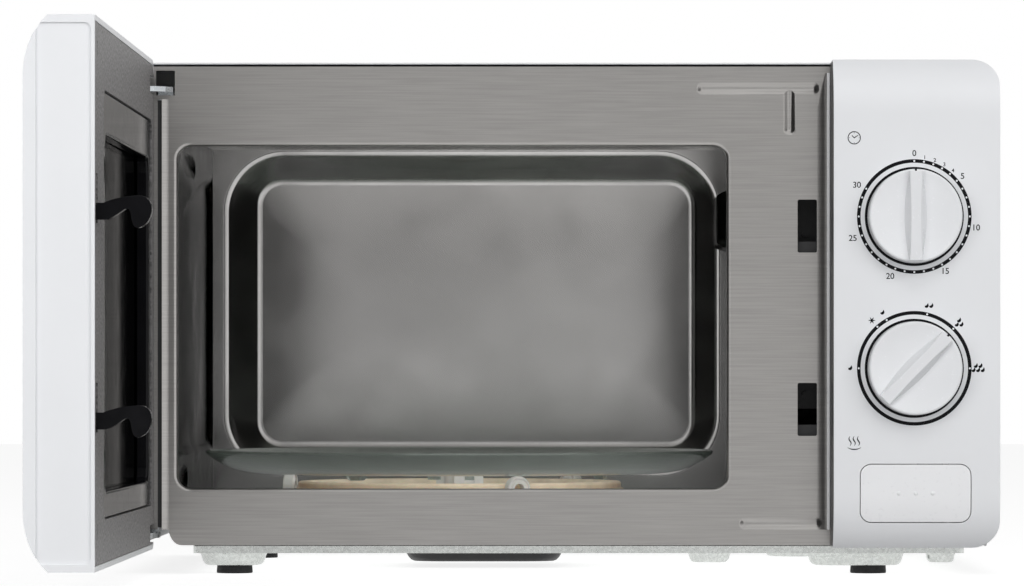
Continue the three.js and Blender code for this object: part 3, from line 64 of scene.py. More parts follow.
# The oven's own drawing frame: X from the cabinet's middle, Y from the front
# plate's lip, Z from the table, all in millimetres.
LIP_TO_BACK = 0.322  # metres
CABINET_LOW, CABINET_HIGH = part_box("outer_cabinet")
MIDDLE = Vector(
    (
        (CABINET_LOW[X] + CABINET_HIGH[X]) / 2,
        CABINET_HIGH[Y] - LIP_TO_BACK,
        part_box("foot_front_left")[0][Z],
    )
)


def mm(node, end, axis):
    """A CAD node's lowest (0) or highest (1) coordinate in the drawing frame."""
    return (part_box(node)[end][axis] - MIDDLE[axis]) / MM


def span(node, *axes):
    """A CAD node's lowest and highest coordinate along each axis in turn."""
    return [mm(node, end, axis) for axis in axes for end in (0, 1)]


def centre(node, axis):
    return sum(span(node, axis)) / 2


LEFT, RIGHT, WRAP_FRONT, BACK, WRAP_BOTTOM, TOP = span("outer_cabinet", X, Y, Z)
PAN_BOTTOM, PAN_TOP = span("base_pan", Z)
PLATE_LEFT, PLATE_RIGHT, PLATE_BOTTOM, PLATE_TOP = span("front_plate", X, Z)
FASCIA_LEFT, FASCIA_FACE = mm("control_panel", 0, X), mm("control_panel", 0, Y)
FASCIA_BOTTOM, FASCIA_TOP = span("control_panel", Z)
KNOB_X = centre("timer_shaft", X)
TIMER_Z, POWER_Z = centre("timer_shaft", Z), centre("power_shaft", Z)
KNOB_FRONT, KNOB_BASE = span("timer_knob", Y)
KNOB_DEPTH = KNOB_BASE - KNOB_FRONT
CAVITY_LEFT, CAVITY_RIGHT = mm("cavity_left_wall", 1, X), mm("cavity_right_wall", 0, X)
CAVITY_FLOOR, CAVITY_CEILING = mm("cavity_floor", 1, Z), mm("cavity_ceiling", 0, Z)
CAVITY_BACK = mm("cavity_back_wall", 0, Y)
TURN_X, TURN_Y = centre("glass_turntable", X), centre("glass_turntable", Y)
HINGE_X, HINGE_Y = LEFT + 6, -10.7
SLOT_X = FASCIA_LEFT - 11.8  # middle of the latch slots and hooks
BEND_X = FASCIA_LEFT - 1.9  # where the front plate ends beside the control panel
LATCHES = (76.5, 169.2)  # undersides of the two hooks' arms
FEET = ("foot_front_left", "foot_front_right", "foot_rear_left", "foot_rear_right")
SHEET = 0.8  # thickness of the steel sheet
# Rounded boxes are x0, x1, z0, z1 and corner radius.
MOUTH = (CAVITY_LEFT, CAVITY_RIGHT - 8.6, CAVITY_FLOOR + 7.6, CAVITY_CEILING - 10, 7)
DISH_OUTER = (CAVITY_LEFT + 8.9, CAVITY_RIGHT - 7, CAVITY_FLOOR + 12, CAVITY_CEILING - 3.6, 31)
DISH_INNER = (
    CAVITY_LEFT + 23.2,
    CAVITY_RIGHT - 17.4,
    CAVITY_FLOOR + 25,
    CAVITY_CEILING - 15.8,
    15,
)
DISH_DEPTH = 11
DOOR_LEFT, DOOR_RIGHT = LEFT, FASCIA_LEFT - 0.3
DOOR_BOTTOM, DOOR_TOP = span("door_frame", Z)
DOOR_INNER, DOOR_FACE = -1.5, -33.2
HINGES = (DOOR_BOTTOM + 5.3, DOOR_TOP - 15.5)  # undersides of the hinge arms
FILM_Y = -8.5
CLIPS = ((27, 34.5), (242, 249))  # small slots in the door's lining
WHEELS = (-70, 50, 170)  # degrees
WHEEL_Z = CAVITY_FLOOR + 6.55
GLASS_Z = CAVITY_FLOOR + 13.1
BUTTON = (KNOB_X - 26.8, KNOB_X + 28.2, 27.5, 56.3, 5.4)
# The power dial's marks: degrees and number of flames.
POWER_STOPS = ((-90, 1), (-41.6, 0), (-29.8, 1), (13.4, 2), (44.6, 3), (90, 5))


# ---- Shapes: closed solids drawn in the drawing frame, in millimetres ----
def arc(cx, cz, radius, start, stop, steps=10):
    """Points of an arc, in degrees."""
    angles = [(start + (stop - start) * k / steps) * DEGREE for k in range(steps + 1)]
    return [(cx + radius * math.cos(a), cz + radius * math.sin(a)) for a in angles]


def rounded(x0, x1, z0, z1, radius, steps=8):
    """A rounded rectangle as a loop of points."""
    left, right, low, high = x0 + radius, x1 - radius, z0 + radius, z1 - radius
    corners = ((right, high), (left, high), (left, low), (right, low))
    loop = []
    for (cx, cz), start in zip(corners, (0, 90, 180, 270)):
        loop += arc(cx, cz, radius, start, start + 90, steps)
    return loop


def circle(x, z, radius, steps=48):
    """A round loop of points."""
    turns = [2 * math.pi / steps * k for k in range(steps)]
    return [(x + radius * math.cos(a), z + radius * math.sin(a)) for a in turns]


def quadratic(a, b, c, steps=12):
    """Points of a curve from a to c, pulled towards b."""
    made = []
    for t in [k / steps for k in range(steps + 1)]:
        u, v, w = (1 - t) ** 2, 2 * t * (1 - t), t * t
        made.append(tuple(u * p + v * q + w * r for p, q, r in zip(a, b, c)))
    return made


def bends(start, *turns):
    """Points from a start through curves, each given as its pull, its end and its steps."""
    path = [start]
    for pull, end, steps in turns:
        path += quadratic(path[-1], pull, end, steps)[1:]
    return path


def ease(t):
    """Goes smoothly from 0 to 1."""
    return t * t * (3 - 2 * t)


def grow(box, by, left=0, right=0, bottom=0, top=0, rounder=None):
    """A rounded box moved out by a distance, and then by its own amount on each side."""
    x0, x1, z0, z1, corner = box
    more = by if rounder is None else rounder
    return (x0 - by + left, x1 + by + right, z0 - by + bottom, z1 + by + top, corner + more)


CHOKE = (DOOR_LEFT + 15.3, CAVITY_RIGHT - 5.7, CAVITY_FLOOR - 0.5, CAVITY_CEILING + 2, 8)
INNER_WINDOW = grow(CHOKE, -12.5, 2.2, -1.8, 0, -7, 0)
OUTER_WINDOW = grow(INNER_WINDOW, -4.5, 4.5, 3.5, -0.5, -5.5, 0)


def spread(axis, a, b, along):
    """A point from its two coordinates in a section and its place along the axis."""
    return {"x": (along, a, b), "y": (a, along, b), "z": (a, b, along)}[axis]


def level(axis, loop, along):
    """A section's loop, placed along the axis."""
    return [spread(axis, a, b, along) for a, b in loop]


ROLL = (11, 10.4, 28)  # depth, pull and height of the rolled ends of the panel and the door


def rolled_side(face, back, bottom, top, inset=0):
    """A side section whose front face rolls back at the top and bottom, as (y, z) points."""
    front, low, high = face + inset, bottom + inset, top - inset
    deep, pull, tall = ROLL
    loop = [(back, low), (back, high)]
    loop += quadratic((front + deep, high), (front, high - pull), (front, high - tall), 18)
    return loop + quadratic((front, low + tall), (front, low + pull), (front + deep, low), 18)


def mesh_object(bm, name="shape"):
    """A scene object that holds a bmesh."""
    bmesh.ops.recalc_face_normals(bm, faces=bm.faces)
    mesh = bpy.data.meshes.new(name)
    bm.to_mesh(mesh)
    bm.free()
    return held(name, mesh)


def held(name, data):
    shape = bpy.data.objects.new(name, data)
    bpy.context.collection.objects.link(shape)
    return shape


def prism(axis, loop, start, end, *holes):
    """A solid with one section from start to end along an axis, and holes through it."""
    bm = bmesh.new()
    bm.faces.new([bm.verts.new(p) for p in level(axis, loop, start)])
    grown = bmesh.ops.extrude_face_region(bm, geom=list(bm.faces), use_keep_orig=True)["geom"]
    far = [v for v in grown if isinstance(v, bmesh.types.BMVert)]
    bmesh.ops.translate(bm, verts=far, vec=Vector(spread(axis, 0, 0, end - start)))
    solid = mesh_object(bm)
    if holes:
        cut(solid, *[prism(axis, hole, start - 1, end + 1) for hole in holes])
    return solid


def block(x0, x1, y0, y1, z0, z1):
    """A plain box, for cutting and for folded sheet."""
    return prism("z", [(x0, y0), (x1, y0), (x1, y1), (x0, y1)], z0, z1)


def slab(box, by, y0, y1, steps=8):
    """A rounded box moved out by a distance, as a solid between two depths."""
    return prism("y", rounded(*grow(box, by), steps), y0, y1)


def loft(rings, closed=False):
    """A skin through rings of equal count, capped at both ends unless it closes on itself."""
    bm = bmesh.new()
    rows = [[bm.verts.new(p) for p in ring] for ring in rings]
    for near, far in zip(rows, rows[1:] + (rows[:1] if closed else [])):
        for k in range(len(near)):
            bm.faces.new((near[k - 1], near[k], far[k], far[k - 1]))
    if not closed:
        bm.faces.new(rows[0])
        bm.faces.new(rows[-1][::-1])
    return mesh_object(bm)


def tiers(axis, steps, path):
    """Rounded boxes at their places along an axis, as the rings of a loft."""
    return [level(axis, rounded(*box, steps), along) for box, along in path]


def turned(profile, spot, axis="z", steps=64):
    """A lathe solid from points of (radius, height along the axis), closed off the axis."""
    bm = bmesh.new()
    points = [p for p in profile if p[0] > 0]
    rows = []
    for k in range(steps):
        a = 2 * math.pi * k / steps
        c, s = math.cos(a), math.sin(a)
        rows.append([bm.verts.new(spread(axis, r * c, r * s, h)) for r, h in points])
    for near, far in zip(rows, rows[1:] + rows[:1]):
        for k in range(len(points) - 1):
            bm.faces.new((near[k], near[k + 1], far[k + 1], far[k]))
    first, last = profile[0], profile[-1]
    if first != last and min(first[0], last[0]) > 0:
        for near, far in zip(rows, rows[1:] + rows[:1]):
            bm.faces.new((near[-1], near[0], far[0], far[-1]))
    if first[0] <= 0:
        bm.faces.new([row[0] for row in rows])
    if last[0] <= 0:
        bm.faces.new([row[-1] for row in rows][::-1])
    bmesh.ops.translate(bm, verts=bm.verts, vec=Vector(spot))
    return mesh_object(bm)


def combine(shape, others, operation):
    """Joins, cuts or keeps the common part of solids, and uses the others up."""
    for other in others:
        step = shape.modifiers.new(operation, "BOOLEAN")
        step.operation, step.solver, step.object = operation, "MANIFOLD", other
    graph = bpy.context.evaluated_depsgraph_get()
    mesh = bpy.data.meshes.new_from_object(shape.evaluated_get(graph))
    shape.modifiers.clear()
    old, shape.data = shape.data, mesh
    bpy.data.meshes.remove(old)
    for other in others:
        bpy.data.objects.remove(other)
    if not shape.data.polygons:
        raise RuntimeError(f"{operation} left nothing of {shape.name}")
    return shape


def cut(shape, *others):
    return combine(shape, others, "DIFFERENCE")


def join(shape, *others):
    return combine(shape, others, "UNION")


def common(shape, *others):
    return combine(shape, others, "INTERSECT")


def together(shape, *others):
    """Puts separate solids into one mesh."""
    bm = bmesh.new()
    for part in (shape, *others):
        bm.from_mesh(part.data)
    bm.to_mesh(shape.data)
    bm.free()
    for other in others:
        bpy.data.objects.remove(other)
    return shape


def moved(shape, matrix):
    shape.data.transform(matrix)
    return shape


FLAT_ANGLE = 32 * DEGREE  # edges flatter than this are smooth


def smoothing():
    """Geometry nodes that smooth every flat edge."""
    group = bpy.data.node_groups.get("soft_edges")
    if group:
        return group
    group = bpy.data.node_groups.new("soft_edges", "GeometryNodeTree")
    for side in ("INPUT", "OUTPUT"):
        group.interface.new_socket("Geometry", in_out=side, socket_type="NodeSocketGeometry")
    new, link = group.nodes.new, group.links.new
    start, end = new("NodeGroupInput"), new("NodeGroupOutput")
    faces, edges = new("GeometryNodeSetShadeSmooth"), new("GeometryNodeSetShadeSmooth")
    edges.domain = "EDGE"
    angle, flat = new("GeometryNodeInputMeshEdgeAngle"), new("FunctionNodeCompare")
    flat.operation = "LESS_THAN"
    flat.inputs[1].default_value = FLAT_ANGLE
    link(angle.outputs[0], flat.inputs[0])
    link(flat.outputs[0], edges.inputs["Shade Smooth"])
    for near, far in ((start, faces), (faces, edges), (edges, end)):
        link(near.outputs[0], far.inputs[0])
    return group


def eased(piece, width, steps):
    """Rounds a piece's sharp edges by a width in millimetres and smooths the rest."""
    if width:
        bevel = piece.modifiers.new("edges", "BEVEL")
        bevel.width, bevel.segments = width * MM, steps
        bevel.limit_method, bevel.angle_limit = "ANGLE", FLAT_ANGLE
        bevel.use_clamp_overlap = True
    piece.modifiers.new("smooth", "NODES").node_group = smoothing()
    piece.modifiers.new("normals", "WEIGHTED_NORMAL").keep_sharp = True


TO_FRAME = Matrix.Translation(MIDDLE) @ Matrix.Scale(MM, 4)
# The door is drawn shut and stands open in the frame.
SWUNG = Matrix.Translation((HINGE_X, HINGE_Y, 0)) @ Matrix.Rotation(-90 * DEGREE, 4, "Z")
SWUNG = SWUNG @ Matrix.Translation((-HINGE_X, -HINGE_Y, 0))


def add(name, shape, finish, body="cabinet", nodes=(), slot=None, edge=0.3, steps=2):
    """Makes a drawn shape a piece of the oven: placed, finished and riding on its body."""
    shape.name = shape.data.name = name
    shape.data.transform(TO_FRAME @ SWUNG if body in ("door", "hooks") else TO_FRAME)
    shape.data.materials.clear()
    shape.data.materials.append(FINISHES[finish]())
    eased(shape, edge, steps)
    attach(shape, body)
    if nodes:
        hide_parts(*nodes)
    return shape



# ---- Finishes: each is one Principled surface with procedural detail ----
WHITE = (1, 1, 1, 1)


class Surface:
    """A Principled material that gathers detail for its colour, roughness and relief."""

    def __init__(self, name, colour, rough, metal=0.0, **sockets):
        self.material = bpy.data.materials.new(name)
        self.material.use_nodes = True
        tree = self.material.node_tree
        self.nodes, self.links = tree.nodes, tree.links
        self.shader = self.nodes["Principled BSDF"]
        self.colour = (*colour, 1.0)
        self.put(Base_Color=self.colour, Roughness=rough, Metallic=metal, **sockets)
        self.place = self.nodes.new("ShaderNodeTexCoord").outputs["Object"]
        self.relief = None

    def put(self, **sockets):
        for socket, value in sockets.items():
            self.shader.inputs[socket.replace("_", " ")].default_value = value

    def grain(self, size, stretch=(1, 1, 1), detail=3.0):
        """Noise whose cells are about a size in millimetres, drawn out along each axis."""
        scale = self.nodes.new("ShaderNodeVectorMath")
        scale.operation = "MULTIPLY"
        scale.inputs[1].default_value = [1 / (size * MM * s) for s in stretch]
        noise = self.nodes.new("ShaderNodeTexNoise")
        noise.inputs["Scale"].default_value = 1.0
        noise.inputs["Detail"].default_value = detail
        self.links.new(self.place, scale.inputs[0])
        self.links.new(scale.outputs[0], noise.inputs["Vector"])
        return noise.outputs["Fac"]

    def cells(self, size):
        """Grains of one tone each, like the spangle of zinc."""
        crystals = self.nodes.new("ShaderNodeTexVoronoi")
        crystals.inputs["Scale"].default_value = 1 / (size * MM)
        self.links.new(self.place, crystals.inputs["Vector"])
        return crystals.outputs["Color"]

    def ranged(self, value, least, most, start=0.3, stop=0.7):
        """Maps a texture's value to a range."""
        spread_out = self.nodes.new("ShaderNodeMapRange")
        for socket, number in zip((1, 2, 3, 4), (start, stop, least, most)):
            spread_out.inputs[socket].default_value = number
        self.links.new(value, spread_out.inputs[0])
        return spread_out.outputs[0]

    def shaded(self, value, least, most, start=0.3, stop=0.7):
        """Varies the colour between two shares of its strength."""
        mix = self.nodes.new("ShaderNodeMix")
        mix.data_type = "RGBA"
        for socket, share in (("A", least), ("B", most)):
            ends = [s for s in mix.inputs if s.name == socket and s.type == "RGBA"][0]
            ends.default_value = (*[min(c * share, 1) for c in self.colour[:3]], 1)
        self.links.new(self.ranged(value, 0, 1, start, stop), mix.inputs["Factor"])
        self.links.new(mix.outputs[2], self.shader.inputs["Base Color"])

    def roughened(self, value, least, most):
        self.links.new(self.ranged(value, least, most), self.shader.inputs["Roughness"])

    def brushed(self, amount):
        """Draws the shine out across a level brushing."""
        along = self.nodes.new("ShaderNodeTangent")
        along.direction_type, along.axis = "RADIAL", "Z"
        self.links.new(along.outputs[0], self.shader.inputs["Tangent"])
        self.put(Anisotropic=amount, Anisotropic_Rotation=0.25)

    def embossed(self, value, height, strength):
        """Adds relief of a height in millimetres."""
        bump = self.nodes.new("ShaderNodeBump")
        bump.inputs["Strength"].default_value = strength
        bump.inputs["Distance"].default_value = height * MM
        self.links.new(value, bump.inputs["Height"])
        if self.relief:
            self.links.new(self.relief, bump.inputs["Normal"])
        self.relief = bump.outputs[0]
        self.links.new(self.relief, self.shader.inputs["Normal"])


FINISHES, MADE = {}, {}


def finish(name, tint, rough, tone, shine, *reliefs, metal=0.0, brush=0, spangle=False, **sockets):
    """Registers a finish, whose material is made once.

    The tint is a colour or the name of one in the settings. Tone, shine and each relief
    start with a grain, as its size in millimetres or as all that Surface.grain takes.
    """

    def material():
        if name not in MADE:
            named = isinstance(tint, str)
            colour = getattr(bpy.context.scene.oven_colours, tint) if named else tint
            s = Surface(f"{name}_finish", colour, rough, metal, **sockets)
            if brush:
                s.brushed(brush)

            def noise(grain):
                return s.grain(*grain) if isinstance(grain, tuple) else s.grain(grain)

            s.shaded(s.cells(tone[0]) if spangle else noise(tone[0]), *tone[1:])
            s.roughened(noise(shine[0]), *shine[1:])
            for grain, height, strength in reliefs:
                s.embossed(noise(grain), height, strength)
            MADE[name] = s.material
        return MADE[name]

    FINISHES[name] = material


EVEN = (1, 1, 1)
LEVEL_STREAKS, DEEP_STREAKS = (50, 6, 1), (1, 80, 1)
HAIRLINES = (0.3, LEVEL_STREAKS, 4)
SATIN = (0.5, (80, 80, 1), 2)
ROLLED = (0.5, DEEP_STREAKS, 2)
LAYERS = (0.5, (400, 400, 1), 1)
TURNS = (0.8, (300, 300, 1), 1)

finish(
    "white_plastic", "plastic", 0.32,
    (38, 0.985, 1.0), (2.2, 0.28, 0.38), (0.8, 0.006, 0.5), Specular_IOR_Level=0.4,
)
finish(
    "button_plastic", (0.86, 0.865, 0.88), 0.3,
    (20, 0.985, 1.0), (2.2, 0.26, 0.36), (0.8, 0.006, 0.5), Specular_IOR_Level=0.45,
)
finish(
    "knob_plastic", "plastic", 0.25,
    (12, 0.985, 1.0), (1.5, 0.2, 0.28), (0.6, 0.002, 0.3), Specular_IOR_Level=0.5,
)
finish("white_paint", "paint", 0.4, (60, 0.98, 1.0), (3, 0.34, 0.46), (1.1, 0.02, 0.6))
finish(
    "brushed_steel", "steel", 0.35,
    ((0.8, LEVEL_STREAKS, 4), 0.92, 1.05, 0.35, 0.65), (HAIRLINES, 0.3, 0.4),
    (HAIRLINES, 0.008, 0.5), metal=1.0, brush=0.7,
)
finish(
    "cavity_steel", "cavity", 0.22,
    ((70, EVEN, 1), 0.9, 1.06), ((30, EVEN, 1), 0.2, 0.27),
    ((110, EVEN, 0), 0.8, 0.5), (SATIN, 0.0015, 0.6), metal=1.0, brush=0.8,
)
# The cavity's steel darkened for its side walls and the waveguide cover, which are the same steel
# as the back wall: painted shade.
finish(
    "wall_steel_painted_shade", (0.11, 0.108, 0.106), 0.14,
    ((40, EVEN, 1), 0.7, 1.3), ((30, EVEN, 1), 0.14, 0.22), (ROLLED, 0.004, 0.6),
    metal=1.0, brush=0.7, Specular_Tint=(0.12, 0.12, 0.12, 1),
)
# A paler, more diffuse copy of the cavity steel for the floor, so that it reads as lit from above:
# painted light.
finish(
    "floor_steel_painted_light", (0.76, 0.76, 0.77), 0.42,
    ((60, EVEN, 1), 0.9, 1.04), (12, 0.38, 0.48), (ROLLED, 0.006, 0.6), metal=0.2,
)
finish(
    "galvanised_steel", (0.67, 0.69, 0.67), 0.27,
    (1.2, 0.9, 1.05), (2.5, 0.22, 0.34), (0.9, 0.004, 0.4), metal=0.85, spangle=True,
)
finish(
    "grey_paint", "inner_paint", 0.5,
    ((1.5, EVEN, 2), 0.45, 1.6, 0.35, 0.65), (0.9, 0.42, 0.6), (0.6, 0.03, 0.7),
)
finish(
    "gloss_black", (0.006, 0.006, 0.007), 0.14,
    (14, 0.8, 1.2), (5, 0.07, 0.14), (9, 0.01, 0.3), Specular_IOR_Level=0.14,
)
finish(
    "black_plastic", (0.02, 0.02, 0.021), 0.42,
    (9, 0.8, 1.25), (1.2, 0.36, 0.5), (0.4, 0.012, 0.6),
)
finish(
    "foot_rubber", (0.013, 0.013, 0.014), 0.75,
    (3, 0.75, 1.5), (1, 0.65, 0.85), (0.5, 0.03, 0.7),
)
finish(
    "turntable_glass", (0.4, 0.44, 0.405), 0.05,
    (20, 0.9, 1.05), (3, 0.03, 0.09), (1.6, 0.35, 0.5), Transmission_Weight=0.7, IOR=1.5,
)
finish(
    "smoked_window", (0.02, 0.02, 0.022), 0.06,
    (40, 0.9, 1.0), (12, 0.04, 0.09), (25, 0.01, 0.2), Transmission_Weight=1.0, IOR=1.02,
)
finish(
    "outer_glass", (0.35, 0.35, 0.37), 0.04,
    (50, 0.95, 1.0), (20, 0.03, 0.06), (40, 0.01, 0.2), Transmission_Weight=1.0, IOR=1.45,
)
finish(
    "screen_steel", (0.018, 0.018, 0.02), 0.35,
    (2, 0.8, 1.3), (1.5, 0.3, 0.45), (0.7, 0.01, 0.5),
)
finish(
    "amber_plastic", (0.86, 0.68, 0.52), 0.38,
    (10, 0.85, 1.1), (2, 0.3, 0.45), (0.8, 0.01, 0.5), Subsurface_Weight=0.2,
)
finish(
    "nylon", (0.72, 0.69, 0.65), 0.42,
    (8, 0.92, 1.03), (1.5, 0.35, 0.5), (0.7, 0.01, 0.4), Subsurface_Weight=0.1,
)
finish(
    "zinc_plate", (0.56, 0.59, 0.61), 0.28,
    (4, 0.85, 1.1), (1.5, 0.22, 0.38), (0.6, 0.008, 0.4), metal=1.0,
)
finish(
    "core_iron", (0.07, 0.07, 0.075), 0.55,
    (LAYERS, 0.6, 1.5), (2, 0.45, 0.65), (LAYERS, 0.05, 0.6), metal=0.6,
)
finish(
    "copper", (0.42, 0.17, 0.075), 0.35,
    (TURNS, 0.7, 1.2), (2, 0.28, 0.42), (TURNS, 0.08, 0.7), metal=0.8,
)
finish(
    "aluminium", (0.52, 0.52, 0.53), 0.38,
    (6, 0.92, 1.05), ((0.8, (20, 1, 1)), 0.3, 0.46), ((0.5, (20, 1, 1)), 0.005, 0.4), metal=1.0,
)
finish(
    "dial_ink", (0.004, 0.004, 0.005), 0.5,
    (5, 0.8, 1.3), (2, 0.4, 0.5), (0.5, 0.003, 0.4), Specular_IOR_Level=0.12,
)


# ---- Settings a user would change ----
def number_setting(name, description, default, least=0, **kind):
    return bpy.props.FloatProperty(
        name=name, description=description, default=default, min=least, **kind
    )


def length_setting(name, description, default):
    return number_setting(name, description, default * MM, precision=4, unit="LENGTH")


def lamp_setting(name, default):
    return number_setting(name, "Power", default, unit="POWER")


def colour_setting(name, description, default):
    return bpy.props.FloatVectorProperty(
        name=name, description=description, default=default, size=3, min=0, max=1, subtype="COLOR"
    )


class OvenColours(bpy.types.PropertyGroup):
    plastic: colour_setting("Plastic", "Panel, door and knobs", (0.8, 0.81, 0.83))
    paint: colour_setting("Cabinet paint", "Powder coat of the cabinet", (0.77, 0.78, 0.8))
    steel: colour_setting("Front plate", "Brushed steel around the mouth", (0.4, 0.388, 0.376))
    cavity: colour_setting("Cavity steel", "Satin steel inside the oven", (0.56, 0.55, 0.54))
    inner_paint: colour_setting("Door lining", "Speckled paint in the door", (0.15, 0.145, 0.145))


class OvenSizes(bpy.types.PropertyGroup):
    sheet_edge: length_setting("Sheet edge", "Rounding on cut sheet", 0.25)
    moulded_edge: length_setting("Moulded edge", "Rounding on moulded plastic", 0.6)
    lip_roll: length_setting("Mouth lip", "Roll of the front plate around the mouth", 1.8)
    dial_ring: length_setting("Dial ring", "Radius of the printed ring", 27.75)
    dial_ring_width: length_setting("Ring width", "Width of the printed ring", 1.75)
    numeral: length_setting("Numerals", "Height of the main numbers", 3.05)


class OvenStage(bpy.types.PropertyGroup):
    lens: number_setting("Lens", "Focal length of the camera in millimetres", 194.8, 20)
    distance: length_setting("Camera distance", "From the front plate to the camera", 2801)
    key: lamp_setting("Key lamp", 17)
    fill: lamp_setting("Fill lamp", 17)
    front: lamp_setting("Front lamp", 14)
    cavity: lamp_setting("Cavity lamp", 0.08)
    room: number_setting("Room light", "Strength of the light from all around", 0.27)
    floor_glow: number_setting("Floor glow", "Added to the floor to match the background", 0.8)
    card_width: length_setting("Card width", "Dark card mirrored by the steel", 1500)
    card_height: length_setting("Card height", "Dark card mirrored by the steel", 850)
    card_tone: number_setting("Card tone", "Brightness of the card", 0.17)
    backdrop: colour_setting("Backdrop", "Floor and background", (0.5, 0.5, 0.5))


# ---- The stage ----
class OVEN_OT_stage(bpy.types.Operator):
    """Sets the floor, the lamps, the surroundings and the camera"""

    bl_idname = "oven.stage"
    bl_label = "Stage"

    FLOOR_REACH = 6000
    SENSOR = 36  # the camera's, in millimetres
    SHIFT = (-0.0488, 0.088)

    def execute(self, context):
        stage = context.scene.oven_stage
        self.floor(stage)
        self.card(stage)
        self.surroundings(context, stage)
        oven, turntable = Vector((0, 0.1, 0.14)), Vector((-0.03, 0.16, 0))
        self.lamp("key_lamp", stage.key, 1.4, (1.3, -1.9, 0.75), oven)
        self.lamp("fill_lamp", stage.fill, 1.2, (-1.1, -2.0, 0.4), oven)
        self.lamp("front_lamp", stage.front, 1.2, (0.2, -2.0, 1.7), oven)
        self.lamp("cavity_glow", stage.cavity, 0.12, (-0.03, 0.1, 0.2), turntable)
        lens = bpy.data.cameras.new("camera")
        lens.lens, lens.sensor_width = stage.lens, self.SENSOR
        lens.shift_x, lens.shift_y = self.SHIFT
        camera = held("camera", lens)
        camera.location = MIDDLE + Vector((0.001, -stage.distance, 0.097))
        camera.rotation_euler = (90 * DEGREE, 0, 0)
        context.scene.camera = camera
        context.scene.view_settings.view_transform = "Standard"
        return {"FINISHED"}

    def floor(self, stage):
        reach = self.FLOOR_REACH
        s = Surface("backdrop", stage.backdrop, 0.9, Specular_IOR_Level=0.0, Emission_Color=WHITE)
        s.shaded(s.grain(300), 0.995, 1.0)
        glow = s.nodes.new("ShaderNodeMath")
        glow.operation = "MULTIPLY"
        glow.inputs[1].default_value = stage.floor_glow
        s.links.new(self.seen(s.nodes, s.links.new), glow.inputs[0])
        s.links.new(glow.outputs[0], s.shader.inputs["Emission Strength"])
        floor = self.stand("floor", block(-reach, reach, -reach, reach, -4, 0), s)

    def card(self, stage):
        """A dark card beside the camera that only shows in reflections."""
        half, back = stage.card_width / MM / 2, 100 - stage.distance / MM
        s = Surface("card_felt", (0.05, 0.05, 0.05), 0.9, Specular_IOR_Level=0.0)
        s.shaded(s.grain(120), 0.9, 1.1)
        s.put(Emission_Color=WHITE, Emission_Strength=stage.card_tone)
        card = block(-half, half, back - 4, back, 4, stage.card_height / MM)
        card = self.stand("reflection_card", card, s)
        card.visible_camera = card.visible_diffuse = False
        card.visible_shadow = card.visible_transmission = False

    def stand(self, name, shape, surface):
        """Names, places and finishes a piece of the stage."""
        shape.name = shape.data.name = name
        shape.data.materials.append(surface.material)
        return moved(shape, TO_FRAME)

    def seen(self, nodes, link):
        """One for the rays that show the background: straight, mirrored and through glass."""
        path = nodes.new("ShaderNodeLightPath")
        total = path.outputs["Is Camera Ray"]
        for ray in ("Is Glossy Ray", "Is Transmission Ray"):
            either = nodes.new("ShaderNodeMath")
            either.operation = "MAXIMUM"
            link(total, either.inputs[0])
            link(path.outputs[ray], either.inputs[1])
            total = either.outputs[0]
        return total

    def surroundings(self, context, stage):
        world = bpy.data.worlds.new("room")
        context.scene.world = world
        world.use_nodes = True
        nodes, link = world.node_tree.nodes, world.node_tree.links.new
        light, white = nodes["Background"], nodes.new("ShaderNodeBackground")
        light.inputs["Strength"].default_value = stage.room
        mix = nodes.new("ShaderNodeMixShader")
        link(self.seen(nodes, link), mix.inputs[0])
        for socket, shader in enumerate((light, white), 1):
            shader.inputs["Color"].default_value = WHITE
            link(shader.outputs[0], mix.inputs[socket])
        link(mix.outputs[0], nodes["World Output"].inputs[0])

    def lamp(self, name, power, size, spot, aim):
        """A square lamp that doesn't show in reflections; the spot and the aim are in metres."""
        lamp = bpy.data.lights.new(name, "AREA")
        lamp.energy, lamp.size = power, size
        holder = held(name, lamp)
        holder.location = MIDDLE + Vector(spot)
        holder.visible_glossy = False
        holder.rotation_euler = (MIDDLE + aim - holder.location).to_track_quat("-Z", "Y").to_euler()


# ---- Pieces ----
def panel_slice(back, inset, x0, x1):
    """The control panel's rolled section, as a solid over part of its width."""
    side = rolled_side(FASCIA_FACE, back, FASCIA_BOTTOM, FASCIA_TOP, inset)
    return prism("x", side, x0, x1)


def welt(box, height, half_width=2.9, steps=8):
    """A rib pressed towards the front, with a bell-shaped section."""
    path = [(box, 0.3)]
    for k in range(steps + 1):
        rise = (1 - math.cos(180 * k / steps * DEGREE)) / 2
        path.append((grow(box, -half_width * k / steps), -0.02 - height * rise))
    return loft(tiers("y", 8, path))


